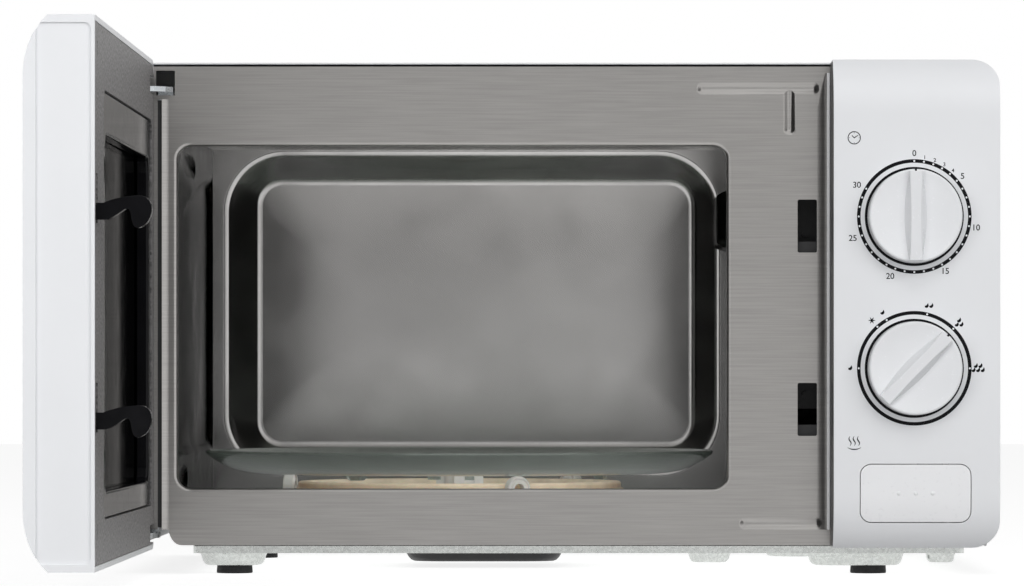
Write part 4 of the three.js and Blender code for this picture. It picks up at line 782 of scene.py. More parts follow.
class OVEN_OT_cabinet(bpy.types.Operator):
    """Wraps the cabinet's sheet over the top and sides, with louvres and rear screws"""

    bl_idname = "oven.cabinet"
    bl_label = "Cabinet"

    CORNER = 11
    LOUVRES, LOUVRE_PITCH = 7, 8
    SCREW = ((0, 0), (3.4, 0), (3.3, 1), (2.6, 1.9), (1.2, 2.4), (0, 2.5))

    def execute(self, context):
        edge = context.scene.oven_sizes.sheet_edge / MM
        add("cabinet_wrap", self.wrap(), "white_paint", nodes=["outer_cabinet"], edge=edge)
        add("rear_screws", self.screws(), "zinc_plate", edge=0.15)
        return {"FINISHED"}

    def wrap(self):
        r, inner = self.CORNER, self.CORNER - SHEET
        right, left, z = RIGHT - r, LEFT + r, TOP - r
        loop = [(RIGHT, WRAP_BOTTOM), *arc(right, z, r, 0, 90), *arc(left, z, r, 90, 180)]
        loop += [(LEFT, WRAP_BOTTOM), (LEFT + SHEET, WRAP_BOTTOM)]
        loop += [*arc(left, z, inner, 180, 90), *arc(right, z, inner, 90, 0)]
        shell = prism("y", [*loop, (RIGHT - SHEET, WRAP_BOTTOM)], WRAP_FRONT, BACK)
        vents = []
        for side in (LEFT, RIGHT):
            for k in range(self.LOUVRES):
                y = BACK - 122 + self.LOUVRE_PITCH * k
                vents.append(prism("x", rounded(y, y + 3, 150, 184, 1.4, 5), side - 2, side + 2))
        y = WRAP_FRONT
        swept = [(y - 1, 0), (y - 1, 20), (y + 34, 20), (y + 58, WRAP_BOTTOM - 0.1), (y + 58, 0)]
        return cut(shell, *vents, prism("x", swept, LEFT - 2, RIGHT + 2))

    def screws(self):
        heads = []
        sides = [(LEFT + 9, 40), (LEFT + 9, 225), (RIGHT - 9, 62), (RIGHT - 9, 225)]
        for x, z in (*sides, (-60, 251), (60, 251)):
            head = turned(self.SCREW, (0, 0, 0), "y", 20)
            slots = [block(-a, a, 1.5, 3, -b, b) for a, b in ((2, 0.35), (0.35, 2))]
            place = Matrix.Translation((x, mm("rear_panel", 1, Y), z))
            heads.append(moved(cut(head, *slots), place))
        return together(*heads)


class OVEN_OT_front_plate(bpy.types.Operator):
    """Presses the front plate, with its rolled mouth, stiffening ribs and latch slots"""

    bl_idname = "oven.front_plate"
    bl_label = "Front plate"

    NOTCH = (PLATE_LEFT + 16.9, PLATE_BOTTOM + 8)  # the cut-out beside the lower hinge
    SEAM, SEAM_TOP = PLATE_LEFT + 15.5, PLATE_TOP - 16.5
    TURNED_IN = PLATE_LEFT + 21.3  # the fold along the seam
    RECESS = 0.9  # depth of the bend beside the control panel
    RECESS_STEPS = (  # its heights and widths
        (PLATE_BOTTOM + 8, 4.8),
        (PLATE_TOP - 22, 4.8),
        (PLATE_TOP - 12, 3),
        (PLATE_TOP - 3.4, 0.8),
    )

    def execute(self, context):
        sizes = context.scene.oven_sizes
        plate, edge = self.plate(sizes.lip_roll / MM), sizes.sheet_edge / MM
        add("front_sheet", plate, "brushed_steel", nodes=["front_plate"], edge=edge)
        # A black strip stands in for the shadow behind the seam: painted shade.
        add("seam_painted_shadow", self.strip(), "black_plastic", edge=0.2)
        add("plate_bead", self.bead(), "button_plastic", slot="white_plastic", edge=0.2)
        # A black sliver stands in for the shade in the gap beside the panel: painted shade.
        add("panel_gap_painted_shade", self.gap(), "black_plastic", edge=0)
        return {"FINISHED"}

    def strip(self):
        """A black strip behind the seam beside the door, standing in for the shadow in the gap:
        painted shade.
        """
        return block(PLATE_LEFT + 13, PLATE_LEFT + 18, 0.9, 1.5, PLATE_BOTTOM + 9, PLATE_TOP - 17)

    def plate(self, roll):
        sheet = prism("y", self.outline(), 0, SHEET, *self.holes(roll))
        ribs = [
            welt((SLOT_X - 56, SLOT_X + 6, PLATE_TOP - 14.2, PLATE_TOP - 7.8, 3), 1.25),
            welt((SLOT_X - 12.2, SLOT_X - 5.8, PLATE_TOP - 34.6, PLATE_TOP - 9, 3), 1.2),
            welt((SLOT_X - 34.5, SLOT_X + 7.4, PLATE_BOTTOM + 7.8, PLATE_BOTTOM + 14.2, 3), 1.25),
        ]
        return together(join(sheet, *ribs, *self.folds(), self.bend()), self.mouth(roll))

    def outline(self):
        (x, z), top, bottom = self.NOTCH, PLATE_TOP, PLATE_BOTTOM
        loop = [(PLATE_LEFT, top), (PLATE_LEFT, z), (self.SEAM, z), (self.SEAM, self.SEAM_TOP)]
        loop += [(self.TURNED_IN, self.SEAM_TOP), (self.TURNED_IN, z - 1.8)]
        loop += quadratic((x + 5, z - 3.5), (x + 7, bottom), (x + 11, bottom), 5)
        return loop + [(PLATE_RIGHT, bottom), (PLATE_RIGHT, top)]

    def holes(self, roll):
        """The mouth, the latch slots, the slot by the upper hinge and room for the recess."""
        holes = [rounded(*grow(MOUTH, roll), 10)]
        for z in LATCHES:
            holes.append(rounded(SLOT_X - 4.9, SLOT_X + 4.9, z - 6.2, z + 20.6, 0.9, 4))
        holes.append(rounded(LEFT + 15.8, LEFT + 25.3, PLATE_TOP - 14.6, PLATE_TOP - 2, 0.4, 3))
        steps = self.RECESS_STEPS
        end = [(BEND_X + 1.7, steps[k][0]) for k in (-1, 0)]
        return holes + [[(BEND_X - wide, z) for z, wide in steps] + end]

    def mouth(self, roll):
        """The rolled lip around the mouth."""
        turns = [a * DEGREE for a in range(0, 91, 15)]
        lip = [(grow(MOUTH, roll * (1 - math.sin(a))), roll * (1 - math.cos(a))) for a in turns]
        path = lip + [(grow(MOUTH, by), 5) for by in (0, SHEET)]
        path += [(grow(box, 0.4), y + SHEET) for box, y in reversed(lip[:-1])]
        return loft(tiers("y", 10, path), closed=True)

    def folds(self):
        """The sheet turned in at the top, along the seam and at the bottom."""
        (x, z), turn = self.NOTCH, self.TURNED_IN
        side = quadratic((turn, 0), (turn - 1.9, 0), (turn - 3.6, -1.25), 6)
        side += [(turn - 3.6, 12), (turn - 2.8, 12), (turn - 2.8, SHEET)]
        side += [(turn + 0.2, SHEET), (turn + 0.2, 0)]
        return [
            block(PLATE_LEFT + 12, PLATE_RIGHT, 0.4, 10, PLATE_TOP - SHEET, PLATE_TOP),
            prism("z", side, z, self.SEAM_TOP),
            block(x + 12, PLATE_RIGHT, 0.4, 10, PLATE_BOTTOM, PLATE_BOTTOM + SHEET),
        ]

    def bend(self):
        """The sheet curving back beside the control panel, and narrowing at its top."""
        x, deep, rings = BEND_X, self.RECESS, []
        for z, wide in self.RECESS_STEPS:
            curve = quadratic((x - wide - 0.1, 0), (x - wide / 2, 0.1), (x, deep), 6)
            end = [(x + 1.8, deep), (x + 1.8, 1.7), (x - wide - 0.1, SHEET)]
            rings.append(level("z", curve + end, z))
        return loft(rings)

    def bead(self):
        """The white bead that stands between the plate and the control panel."""
        x, front, back = BEND_X, -1.4, 1.5
        section = quadratic((x, back), (x, front), (x + 0.35, front), 5)
        section += quadratic((x + 1.3, front), (x + 1.65, front), (x + 1.65, back), 5)
        return prism("z", section, PLATE_BOTTOM + 8, PLATE_TOP - 3.2)

    def gap(self):
        """A black sliver down the left end of the control panel, standing in for the shade in the
        gap there: painted shade.
        """
        return panel_slice(-0.1, 0.9, FASCIA_LEFT - 0.23, FASCIA_LEFT - 0.03)


class OVEN_OT_cavity(bpy.types.Operator):
    """Presses the cavity's back wall, its left wall and the waveguide cover"""

    bl_idname = "oven.cavity"
    bl_label = "Cavity"

    RIM_DROP = 0.7  # how far the flange rolls in before the dish's slope
    FOOT_DROP, FOOT_WIDTH = 1.0, 3.8  # the slope easing out onto the dish's floor
    CROWN = 1.3  # swell of the dish's floor towards the front
    COLUMNS, ROWS = 120, 110

    def execute(self, context):
        add("cavity_back", self.back(), "cavity_steel", nodes=["cavity_back_wall"])
        # The left wall and the waveguide cover take the darker copy of the cavity steel: painted
        # shade.
        steel = {"finish": "wall_steel_painted_shade", "slot": "cavity_steel"}
        add("cavity_left", self.left_wall(), nodes=["cavity_left_wall"], **steel)
        add("cavity_port_cover", self.port_cover(), nodes=["waveguide_cover"], **steel)
        return {"FINISHED"}

    def back(self):
        floor, path = DISH_DEPTH + self.FOOT_DROP, []
        for k in range(5):
            path.append((grow(DISH_OUTER, 3.2 * (1 - k / 5)), self.RIM_DROP * (k / 5) ** 2))
        for k in range(9):
            box = tuple(a + (b - a) * k / 8 for a, b in zip(DISH_OUTER, DISH_INNER))
            path.append((box, self.RIM_DROP + (DISH_DEPTH - self.RIM_DROP) * k / 8))
        for k in range(1, 7):
            drop = self.FOOT_DROP * (1 - (1 - k / 6) ** 2)
            path.append((grow(DISH_INNER, -self.FOOT_WIDTH * k / 6), DISH_DEPTH + drop))
        for k in range(1, 9):
            rise = self.CROWN * math.sin(90 * k / 8 * DEGREE)
            box = grow(DISH_INNER, -self.FOOT_WIDTH - 7.5 * k, rounder=-1.3 * k)
            path.append((box, floor - rise))
        front = tiers("y", 14, [(box, CAVITY_BACK + y) for box, y in path])
        behind = tiers("y", 14, [(box, CAVITY_BACK + y + SHEET) for box, y in path])
        x0, x1 = CAVITY_LEFT - SHEET, CAVITY_RIGHT + SHEET
        z0, z1 = CAVITY_FLOOR - SHEET, CAVITY_CEILING + SHEET
        corners = [(x0, z0), (x1, z0), (x1, z1), (x0, z1)]
        opening = rounded(*grow(DISH_OUTER, 3.1), 14)
        flange = prism("y", corners, CAVITY_BACK, CAVITY_BACK + SHEET, opening)
        return together(flange, loft(front[::-1] + behind))

    def left_wall(self):
        """A wall pressed outwards in a field with a slanting top, and in two oval dimples."""
        y0, y1, z0, z1 = span("cavity_left_wall", Y, Z)
        field = [(46, 60), (y1 - 6, 60), (y1 - 6, 212), (205, 210), (46, 186)]
        ovals = [(92, 210, 46, 5.5), (46, 48, 30, 6)]  # middle, and reach along Y and Z
        bm = bmesh.new()
        grid = []
        for i in range(self.COLUMNS + 1):
            y = y0 + (y1 - y0) * i / self.COLUMNS
            column = []
            for z in [z0 + (z1 - z0) * j / self.ROWS for j in range(self.ROWS + 1)]:
                column.append(bm.verts.new((CAVITY_LEFT - self.pressing(y, z, field, ovals), y, z)))
            grid.append(column)
        for near, far in zip(grid, grid[1:]):
            for j in range(self.ROWS):
                bm.faces.new((near[j], far[j], far[j + 1], near[j + 1]))
        return mesh_object(bm)

    def pressing(self, y, z, field, ovals):
        """How deep the left wall is pressed at a spot."""
        inside = []
        for (ya, za), (yb, zb) in zip(field, field[1:] + field[:1]):
            length = math.hypot(yb - ya, zb - za)
            inside.append(((yb - ya) * (z - za) - (zb - za) * (y - ya)) / length)
        within = -math.log(sum(math.exp(-d / 2) for d in inside)) * 2
        deep = 2.4 * ease(min(max(within / 7, 0), 1))
        for cy, cz, ry, rz in ovals:
            reach = 1 - ((y - cy) / ry) ** 2 - ((z - cz) / rz) ** 2
            if reach > 0:
                deep = max(deep, 2.2 * math.sqrt(reach))
        return deep

    def port_cover(self):
        x0, x1, y0, y1, z0, z1 = span("waveguide_cover", X, Y, Z)
        path = []
        for t in [k / 8 for k in range(9)]:
            box = (y0 + 12 * t, y1 - 12 * t, z0 + 6 * t, z1 - 6 * t, 5)
            path.append((box, x1 - (x1 - x0) * ease(t)))
        return loft(tiers("x", 6, path))


class OVEN_OT_underside(bpy.types.Operator):
    """Presses the base pan's foot cups and makes its feet, screws and motor cover"""

    bl_idname = "oven.underside"
    bl_label = "Underside"

    UNDER = PAN_BOTTOM + 5  # the pan's flat bottom
    CUP_DEPTH = 6.8
    FOOT = ((0, 2.2), (4.6, 2.2), (4.6, 0.5), (5, 0), (8.9, 0), (9.2, 0.3), (9.2, 1.2))
    SCREW = ((0, 2.15), (3.6, 2.15), (3.6, 1.4), (2.8, 0.7), (0, 0.5))

    def execute(self, context):
        add("pan", self.pan(), "galvanised_steel", nodes=["base_pan"])
        for name in FEET:
            spot = self.middle(name)
            add(f"{name}_pad", self.foot(*spot), "foot_rubber", nodes=[name])
            add(f"{name}_screw", self.screw(*spot), "zinc_plate", edge=0.1)
        add("motor_hatch", self.hatch(), "black_plastic", nodes=["motor_cover"], edge=0.4)
        return {"FINISHED"}

    def middle(self, name):
        return centre(name, X), centre(name, Y)

    def cup(self, spot, deep, slope, raised=0.0):
        """A pressed cup with S-curved sides, open at the top."""
        box = (*spot, 0.45 * min(spot[1] - spot[0], spot[3] - spot[2]))
        path = [(box, self.UNDER + 1 + raised)]
        for inset, drop in bends((0, 0), ((2.4, 0), (3, 0.4), 6), ((3.8, 1), (6.6, 1), 8)):
            path.append((grow(box, -inset * slope), self.UNDER - drop * deep + raised))
        return loft(tiers("z", 12, path))

    def spots(self):
        """The pressed cups: x0, x1, y0, y1, then depth and slope."""
        spots = []
        for name in FEET:
            x, y = self.middle(name)
            less, more = (19.7, 18.8) if x < 0 else (33.5, 20.5)
            spots.append(((x - less, x + more, y - 19, y + 19), self.CUP_DEPTH, 1))
            if x > 0:
                spots.append(((x - 54, x, y - 19, y + 19), 2.2, 0.6))
        spots.append(((RIGHT - 156.5, RIGHT - 131.5, 8, 30), 5, 0.75))
        return spots + [((RIGHT - 35, RIGHT - 18, 8, 30), 5, 0.5)]

    def pan(self):
        x0, x1 = self.middle("foot_front_left")[0] - 19.2, mm("base_pan", 1, X) - 14.5
        y0, y1 = span("base_pan", Y)
        under, spots = self.UNDER, self.spots()
        tray = prism("z", rounded(x0, x1, y0, y1, 2.5, 5), under, PAN_TOP)
        well = prism("z", rounded(x0 + 1, x1 - 1, y0 + 1, y1 - 1, 2, 5), under + 1, PAN_TOP + 1)
        outer = [self.cup(*spot) for spot in spots]
        inner = [self.cup(*spot, 1.0) for spot in spots]
        hatch = prism("z", circle(TURN_X, TURN_Y, 22), under - 1, under + 2)
        holes = [prism("z", circle(*self.middle(name), 2.4, 24), 0, under) for name in FEET]
        return cut(join(tray, *outer), well, *inner, hatch, *holes)

    def foot(self, x, y):
        top = self.UNDER - self.CUP_DEPTH - 0.3
        neck = ((9, top - 0.3), (9, top), (2.1, top), (2.1, top + 3.5), (0, top + 3.5))
        return turned(self.FOOT + neck, (x, y, 0), "z", 40)

    def screw(self, x, y):
        head = turned(self.SCREW, (x, y, 0), "z", 24)
        slots = [block(x - a, x + a, y - b, y + b, 0, 1.2) for a, b in ((2, 0.4), (0.4, 2))]
        return cut(head, *slots)

    def hatch(self):
        x0, x1, y0, y1, z0, z1 = span("motor_cover", X, Y, Z)
        section = [(0, z1), (0, z1 - 1.2), (0.15, z1 - 1.4), (0.5, z0 + 2.4), (0.75, z0 + 0.8)]
        path = []
        for share, z in (*section, (1, z0 + 0.15), (1.6, z0)):
            by = 6 * share
            path.append(((x0 - 3 + by, x1 + 1.7 - by, y0 + by, y1 - by, 12), z))
        return loft(tiers("z", 8, path))


class OVEN_OT_panel(bpy.types.Operator):
    """Moulds the control panel and its printed dials"""

    bl_idname = "oven.panel"
    bl_label = "Control panel"

    WALL = 2.5
    CORNER = 13.5
    BORE = 3.4  # holes for the two shafts
    INNER_RING = (24.75, 23.0)
    DOT = 0.5
    NUMBER_GAP, SMALL_GAP, MARK_GAP = 3.7, 2.3, 4.2  # from the ring out to what stands around it
    SMALL = 0.62  # share of a main number's height
    # A small flame: its tip, then each curve's pull and end, in shares of its size.
    FLAME = ((0.35, 1), (1, -0.1), (0.1, -0.6), (-0.9, -0.6), (-0.62, 0.15), (-0.1, 0))

    def execute(self, context):
        sizes = context.scene.oven_sizes
        edge = sizes.moulded_edge / MM
        add("panel_shell", self.shell(), "white_plastic", nodes=["control_panel"], edge=edge)
        ring = sizes.dial_ring / MM
        prints = self.prints(ring, sizes.dial_ring_width / MM, sizes.numeral / MM)
        add("dial_prints", prints, "dial_ink", slot="gloss_black", edge=0)
        add("dial_dots", self.dots(ring), "white_plastic", edge=0)
        return {"FINISHED"}

    def body(self, inset, back):
        c = self.CORNER - inset
        x0, x1 = FASCIA_LEFT + inset, RIGHT - inset
        z0, z1 = FASCIA_BOTTOM + inset, FASCIA_TOP - inset
        front = arc(x1 - c, z0 + c, c, -90, 0, 14) + arc(x1 - c, z1 - c, c, 0, 90, 14)
        front = [(x0 - 1, z0), *front, (x0 - 1, z1)]
        front = prism("y", front, FASCIA_FACE - 1, back + 1)
        return common(panel_slice(back, inset, x0, x1), front)

    def shell(self):
        """The panel with a sleeve around the open button and bores for the shafts."""
        shell = cut(self.body(0, -0.3), self.body(self.WALL, 0.3))
        inside = panel_slice(0, 0.4, BUTTON[0] - 9, BUTTON[1] + 9)
        shell = join(shell, common(slab(BUTTON, 2, FASCIA_FACE, -18), inside))
        cutters = [slab(BUTTON, 0.4, FASCIA_FACE - 1, -17)]
        for z in (TIMER_Z, POWER_Z):
            loop = circle(KNOB_X, z, self.BORE, 24)
            cutters.append(prism("y", loop, FASCIA_FACE - 1, FASCIA_FACE + 4))
        return cut(shell, *cutters)

    def ink(self, loop, *holes):
        """A print on the panel's face: flat and just proud of it."""
        return prism("y", loop, FASCIA_FACE - 0.06, FASCIA_FACE + 0.05, *holes)

    def hoop(self, x, z, outer, inner, steps):
        """A printed ring."""
        return self.ink(circle(x, z, outer, steps), circle(x, z, inner, steps))

    def number(self, text, x, z, height):
        curve = bpy.data.curves.new("number", "FONT")
        curve.body, curve.align_x, curve.align_y = text, "CENTER", "CENTER"
        curve.size, curve.extrude, curve.offset = height * 1.38, 0.05, 0.045
        holder = held("number", curve)
        graph = bpy.context.evaluated_depsgraph_get()
        mesh = bpy.data.meshes.new_from_object(holder.evaluated_get(graph))
        bpy.data.objects.remove(holder)
        mesh.transform(Matrix.Rotation(90 * DEGREE, 4, "X"))
        ends = [(min(side) + max(side)) / 2 for side in zip(*[v.co for v in mesh.vertices])]
        mesh.transform(Matrix.Translation((x - ends[X], FASCIA_FACE - 0.01, z - ends[Z])))
        return held("number", mesh)

    def round_spot(self, z, clockwise, radius):
        a = clockwise * DEGREE
        return KNOB_X + radius * math.sin(a), z + radius * math.cos(a)

    def prints(self, ring, wide, height):
        marks = []
        for z in (TIMER_Z, POWER_Z):
            marks.append(self.hoop(KNOB_X, z, ring + wide / 2, ring - wide / 2, 96))
            marks.append(self.hoop(KNOB_X, z, *self.INNER_RING, 96))
        for minutes in range(0, 31, 5):
            angle = 10 * minutes
            gap = self.NUMBER_GAP + (0 if minutes % 10 else 0.2)
            x, z = self.round_spot(TIMER_Z, angle, ring + gap)
            marks.append(self.number(str(minutes), x - (1.2 if angle > 180 else 0), z, height))
        for minutes in range(1, 5):
            x, z = self.round_spot(TIMER_Z, 10 * minutes, ring + self.SMALL_GAP)
            marks.append(self.number(str(minutes), x, z, height * self.SMALL))
        marks += self.clock(FASCIA_LEFT + 10.2, TIMER_Z + 39.3)
        marks += self.steam(FASCIA_LEFT + 10.2, POWER_Z - 37)
        for angle, count in POWER_STOPS:
            x, z = self.round_spot(POWER_Z, angle, ring + self.MARK_GAP)
            marks += self.flames(x, z, count) if count else self.star(x, z)
        return together(*marks)

    def clock(self, x, z):
        hands = [(x, z - 0.3), (x + 2.1, z + 1.2), (x + 1.9, z + 1.5), (x, z + 0.3)]
        hands += [(x - 1.0, z + 1.3), (x - 1.3, z + 1)]
        marks = [self.hoop(x, z, 3.3, 2.85, 40), self.ink(hands)]
        for a in [quarter * 90 * DEGREE for quarter in range(4)]:
            marks.append(self.ink(circle(x + 2.45 * math.sin(a), z + 2.45 * math.cos(a), 0.2, 8)))
        return marks

    def ribbon(self, path, width):
        """A printed stroke that tapers at both ends."""
        left, right, last = [], [], len(path) - 1
        for k, (x, z) in enumerate(path):
            a, b = path[max(k - 1, 0)], path[min(k + 1, last)]
            along = Vector((b[0] - a[0], b[1] - a[1])).normalized()
            half = width / 2 * (0.25 + 0.75 * math.sin(math.pi * k / last))
            left.append((x - along.y * half, z + along.x * half))
            right.append((x + along.y * half, z - along.x * half))
        return self.ink(left + right[::-1])

    def steam(self, x, z):
        """Three waves over a bowl."""
        turns = [a * DEGREE for a in range(200, 341, 10)]
        bowl = [(x + 3.5 * math.cos(a), z - 2.0 + 1.5 * math.sin(a)) for a in turns]
        marks = [self.ribbon(bowl, 0.55)]
        for k in (-1, 0, 1):
            wave = []
            for t in range(11):
                sway = 0.55 * math.sin(t / 10 * 2 * math.pi)
                wave.append((x + 2.1 * k + sway, z - 1.7 + 0.48 * t))
            marks.append(self.ribbon(wave, 0.6))
        return marks

    def star(self, x, z):
        """Three crossed strokes."""
        marks = []
        for a in (0, 60 * DEGREE, 120 * DEGREE):
            dx, dz = 1.7 * math.cos(a), 1.7 * math.sin(a)
            stroke = [(x + dx * share, z + dz * share) for share in (-1, -0.5, 0.5, 1)]
            marks.append(self.ribbon(stroke, 0.6))
        return marks

    def flames(self, x, z, count):
        """Flames side by side, or in two rows when there are more than two."""
        marks, rows = [], 1 if count < 3 else 2
        for k in range(count):
            across = x + 2.3 * (k / rows - (count - 1) / (2 * rows))
            marks.append(self.flame(across, z + 2.1 * (k % rows) - (rows - 1), 1.55))
        return marks

    def flame(self, x, z, size):
        tip, *curves = [(x + a * size, z + b * size) for a, b in self.FLAME]
        outer, foot, under, waist, inner = curves
        return self.ink(bends(tip, (outer, foot, 8), (under, waist, 6), (inner, tip, 6))[:-1])

    def dots(self, ring):
        spots = [(TIMER_Z, 10 * k) for k in range(31)]
        spots += [(POWER_Z, stop[0]) for stop in POWER_STOPS]
        made = []
        for z, angle in spots:
            dot = circle(*self.round_spot(z, angle, ring), self.DOT, 12)
            made.append(prism("y", dot, FASCIA_FACE - 0.12, FASCIA_FACE - 0.03))
        return together(*made)


class OVEN_OT_knobs(bpy.types.Operator):
    """Turns the timer and power knobs with their grip bars"""

    bl_idname = "oven.knobs"
    bl_label = "Knobs"

    FACE = KNOB_DEPTH - 3  # the skirt's face, behind the front of the grip
    GRIP = 22.2  # half the length of the grip

    def execute(self, context):
        for name, z, rest in (("timer", TIMER_Z, 0), ("power", POWER_Z, 44.6)):
            body = f"{name}_dial"
            place = Matrix.Translation((KNOB_X, KNOB_BASE, z))
            knob, pointer = [
                moved(shape, place @ Matrix.Rotation(rest * DEGREE, 4, "Y"))
                for shape in (join(self.skirt(), self.bar()), self.pointer())
            ]
            add(f"{name}_grip", knob, "knob_plastic", body, [f"{name}_knob"], edge=0.25, steps=3)
            add(f"{name}_pointer", pointer, "dial_ink", body, slot="gloss_black", edge=0)
        return {"FINISHED"}

    def skirt(self):
        """Drawn round the Y axis, its back at zero and its face towards the front."""
        face = self.FACE
        profile = [(3.3, 0), (23.2, 0), (23.5, 0.3)]
        profile += bends(
            (23.3, face - 1.2),
            ((23.2, face - 0.1), (22.2, face), 6),
            ((14, face - 2.2), (0, face - 2.4), 14),
        )
        profile += [(0, 8.5), (3.3, 8.5)]
        return turned([(r, -h) for r, h in profile], (0, 0, 0), "y", 96)

    def bar(self, count=24):
        """The grip: each side is hollowed in a long lens, deepest in the middle."""
        rings = []
        for k in range(count + 1):
            z = -self.GRIP + 2 * self.GRIP * k / count
            lens = max(0.0, 1 - (z / 22) ** 2)
            top, foot = 3.4 - 0.5 * lens, 3.4 + 2.7 * lens
            side = [(foot, 6.2), (top + 0.7 * lens, 1.9), (top, 0.5), (top - 0.5, 0)]
            side = [(x, y - KNOB_DEPTH) for x, y in side]
            rings.append(level("z", side + [(-x, y) for x, y in reversed(side)], z))
        return loft(rings)

    def pointer(self):
        return block(-0.5, 0.5, 3 - KNOB_DEPTH, 5 - KNOB_DEPTH, 22, 23.6)


class OVEN_OT_open_button(bpy.types.Operator):
    """Moulds the door's push button, flush with the panel, with three raised dots"""

    bl_idname = "oven.open_button"
    bl_label = "Open button"

    DOT = ((0, 0.5), (0.45, 0.43), (0.85, 0.22), (1.1, 0), (1.1, -0.5), (0, -0.5))
    DOT_PITCH = 8.5

    def execute(self, context):
        width = BUTTON[0] - 1, BUTTON[1] + 1
        cap = slab(BUTTON, 0, FASCIA_FACE - 1, FASCIA_FACE + 12, 10)
        cap = common(cap, panel_slice(0, 0, *width))
        hollow = common(slab(BUTTON, -2, FASCIA_FACE, -1), panel_slice(0, 2, *width))
        x, z = (BUTTON[0] + BUTTON[1]) / 2, (BUTTON[2] + BUTTON[3]) / 2
        tip = mm("open_button", 1, Y)
        stem = block(x - 4, x + 4, FASCIA_FACE + 1.5, tip, z - 4, z + 4)
        button, dome = join(cut(cap, hollow), stem), [(r, -h) for r, h in self.DOT]
        spots = [(x + self.DOT_PITCH * k, FASCIA_FACE, z) for k in (-1, 0, 1)]
        button = together(button, *[turned(dome, spot, "y", 20) for spot in spots])
        nodes, slot = ["open_button"], "white_plastic"
        add("button_cap", button, "button_plastic", "button", nodes, slot, edge=0.35)
        return {"FINISHED"}


def door_outline(inset, steps, corner=12):
    """The door seen from the front, with round corners at its hinged edge."""
    c, left, right = corner - inset, DOOR_LEFT + inset, DOOR_RIGHT - inset
    z0, z1 = DOOR_BOTTOM + inset, DOOR_TOP - inset
    loop = [(right, z0), (right, z1), *arc(left + c, z1 - c, c, 90, 180, steps)]
    return loop + arc(left + c, z0 + c, c, 180, 270, steps)


def hinge_pockets():
    """Cutters that leave room for the hinge arms."""
    spans = [(z - 1.8, z + 7.2) for z in HINGES]
    return [block(DOOR_LEFT - 1, HINGE_X + 21, HINGE_Y - 7.5, DOOR_INNER + 1, *z) for z in spans]


class OVEN_OT_door(bpy.types.Operator):
    """Moulds the door's white frame, with the shallow recess along its free end"""

    bl_idname = "oven.door"
    bl_label = "Door frame"

    WALL = 2.5

    def execute(self, context):
        edge = context.scene.oven_sizes.moulded_edge / MM
        add("door_shell", self.frame(), "white_plastic", "door", ["door_frame"], edge=edge)
        add("door_pane", self.pane(), "outer_glass", "door", ["outer_window"])
        return {"FINISHED"}

    def body(self, inset, back):
        side = rolled_side(DOOR_FACE, back, DOOR_BOTTOM, DOOR_TOP, inset)
        side = prism("x", side, DOOR_LEFT + inset, DOOR_RIGHT - inset)
        return common(side, prism("y", door_outline(inset, 14), DOOR_FACE - 1, back + 1))

    def frame(self):
        shell = cut(self.body(0, DOOR_INNER), self.body(self.WALL, DOOR_INNER + 1))
        left, inner = DOOR_LEFT, DOOR_INNER
        knuckle = [(left - 1, inner + 1), (left - 1, inner - 4)]
        knuckle += bends((left, inner - 4), ((left, inner), (left + 4, inner), 8))
        eased_back = prism("z", [*knuckle, (left + 4, inner + 1)], DOOR_BOTTOM - 1, DOOR_TOP + 1)
        window = slab(OUTER_WINDOW, 0, DOOR_FACE - 1, DOOR_FACE + self.WALL + 1, 10)
        recess = rounded(DOOR_FACE + 5.7, inner - 1.6, DOOR_BOTTOM + 3.5, DOOR_TOP - 3.5, 3, 6)
        end = prism("x", recess, DOOR_RIGHT - 1.2, DOOR_RIGHT + 1)
        return cut(shell, eased_back, window, end, *hinge_pockets())

    def pane(self):
        """The outer window, with a rim that reaches back towards the screen."""
        front = DOOR_FACE + self.WALL + 0.3
        outer, inner = rounded(*grow(OUTER_WINDOW, 6)), rounded(*grow(OUTER_WINDOW, 3.6))
        rim = prism("y", outer, front + 2, -10.1, inner)
        return join(slab(OUTER_WINDOW, 6, front, front + 3), rim)


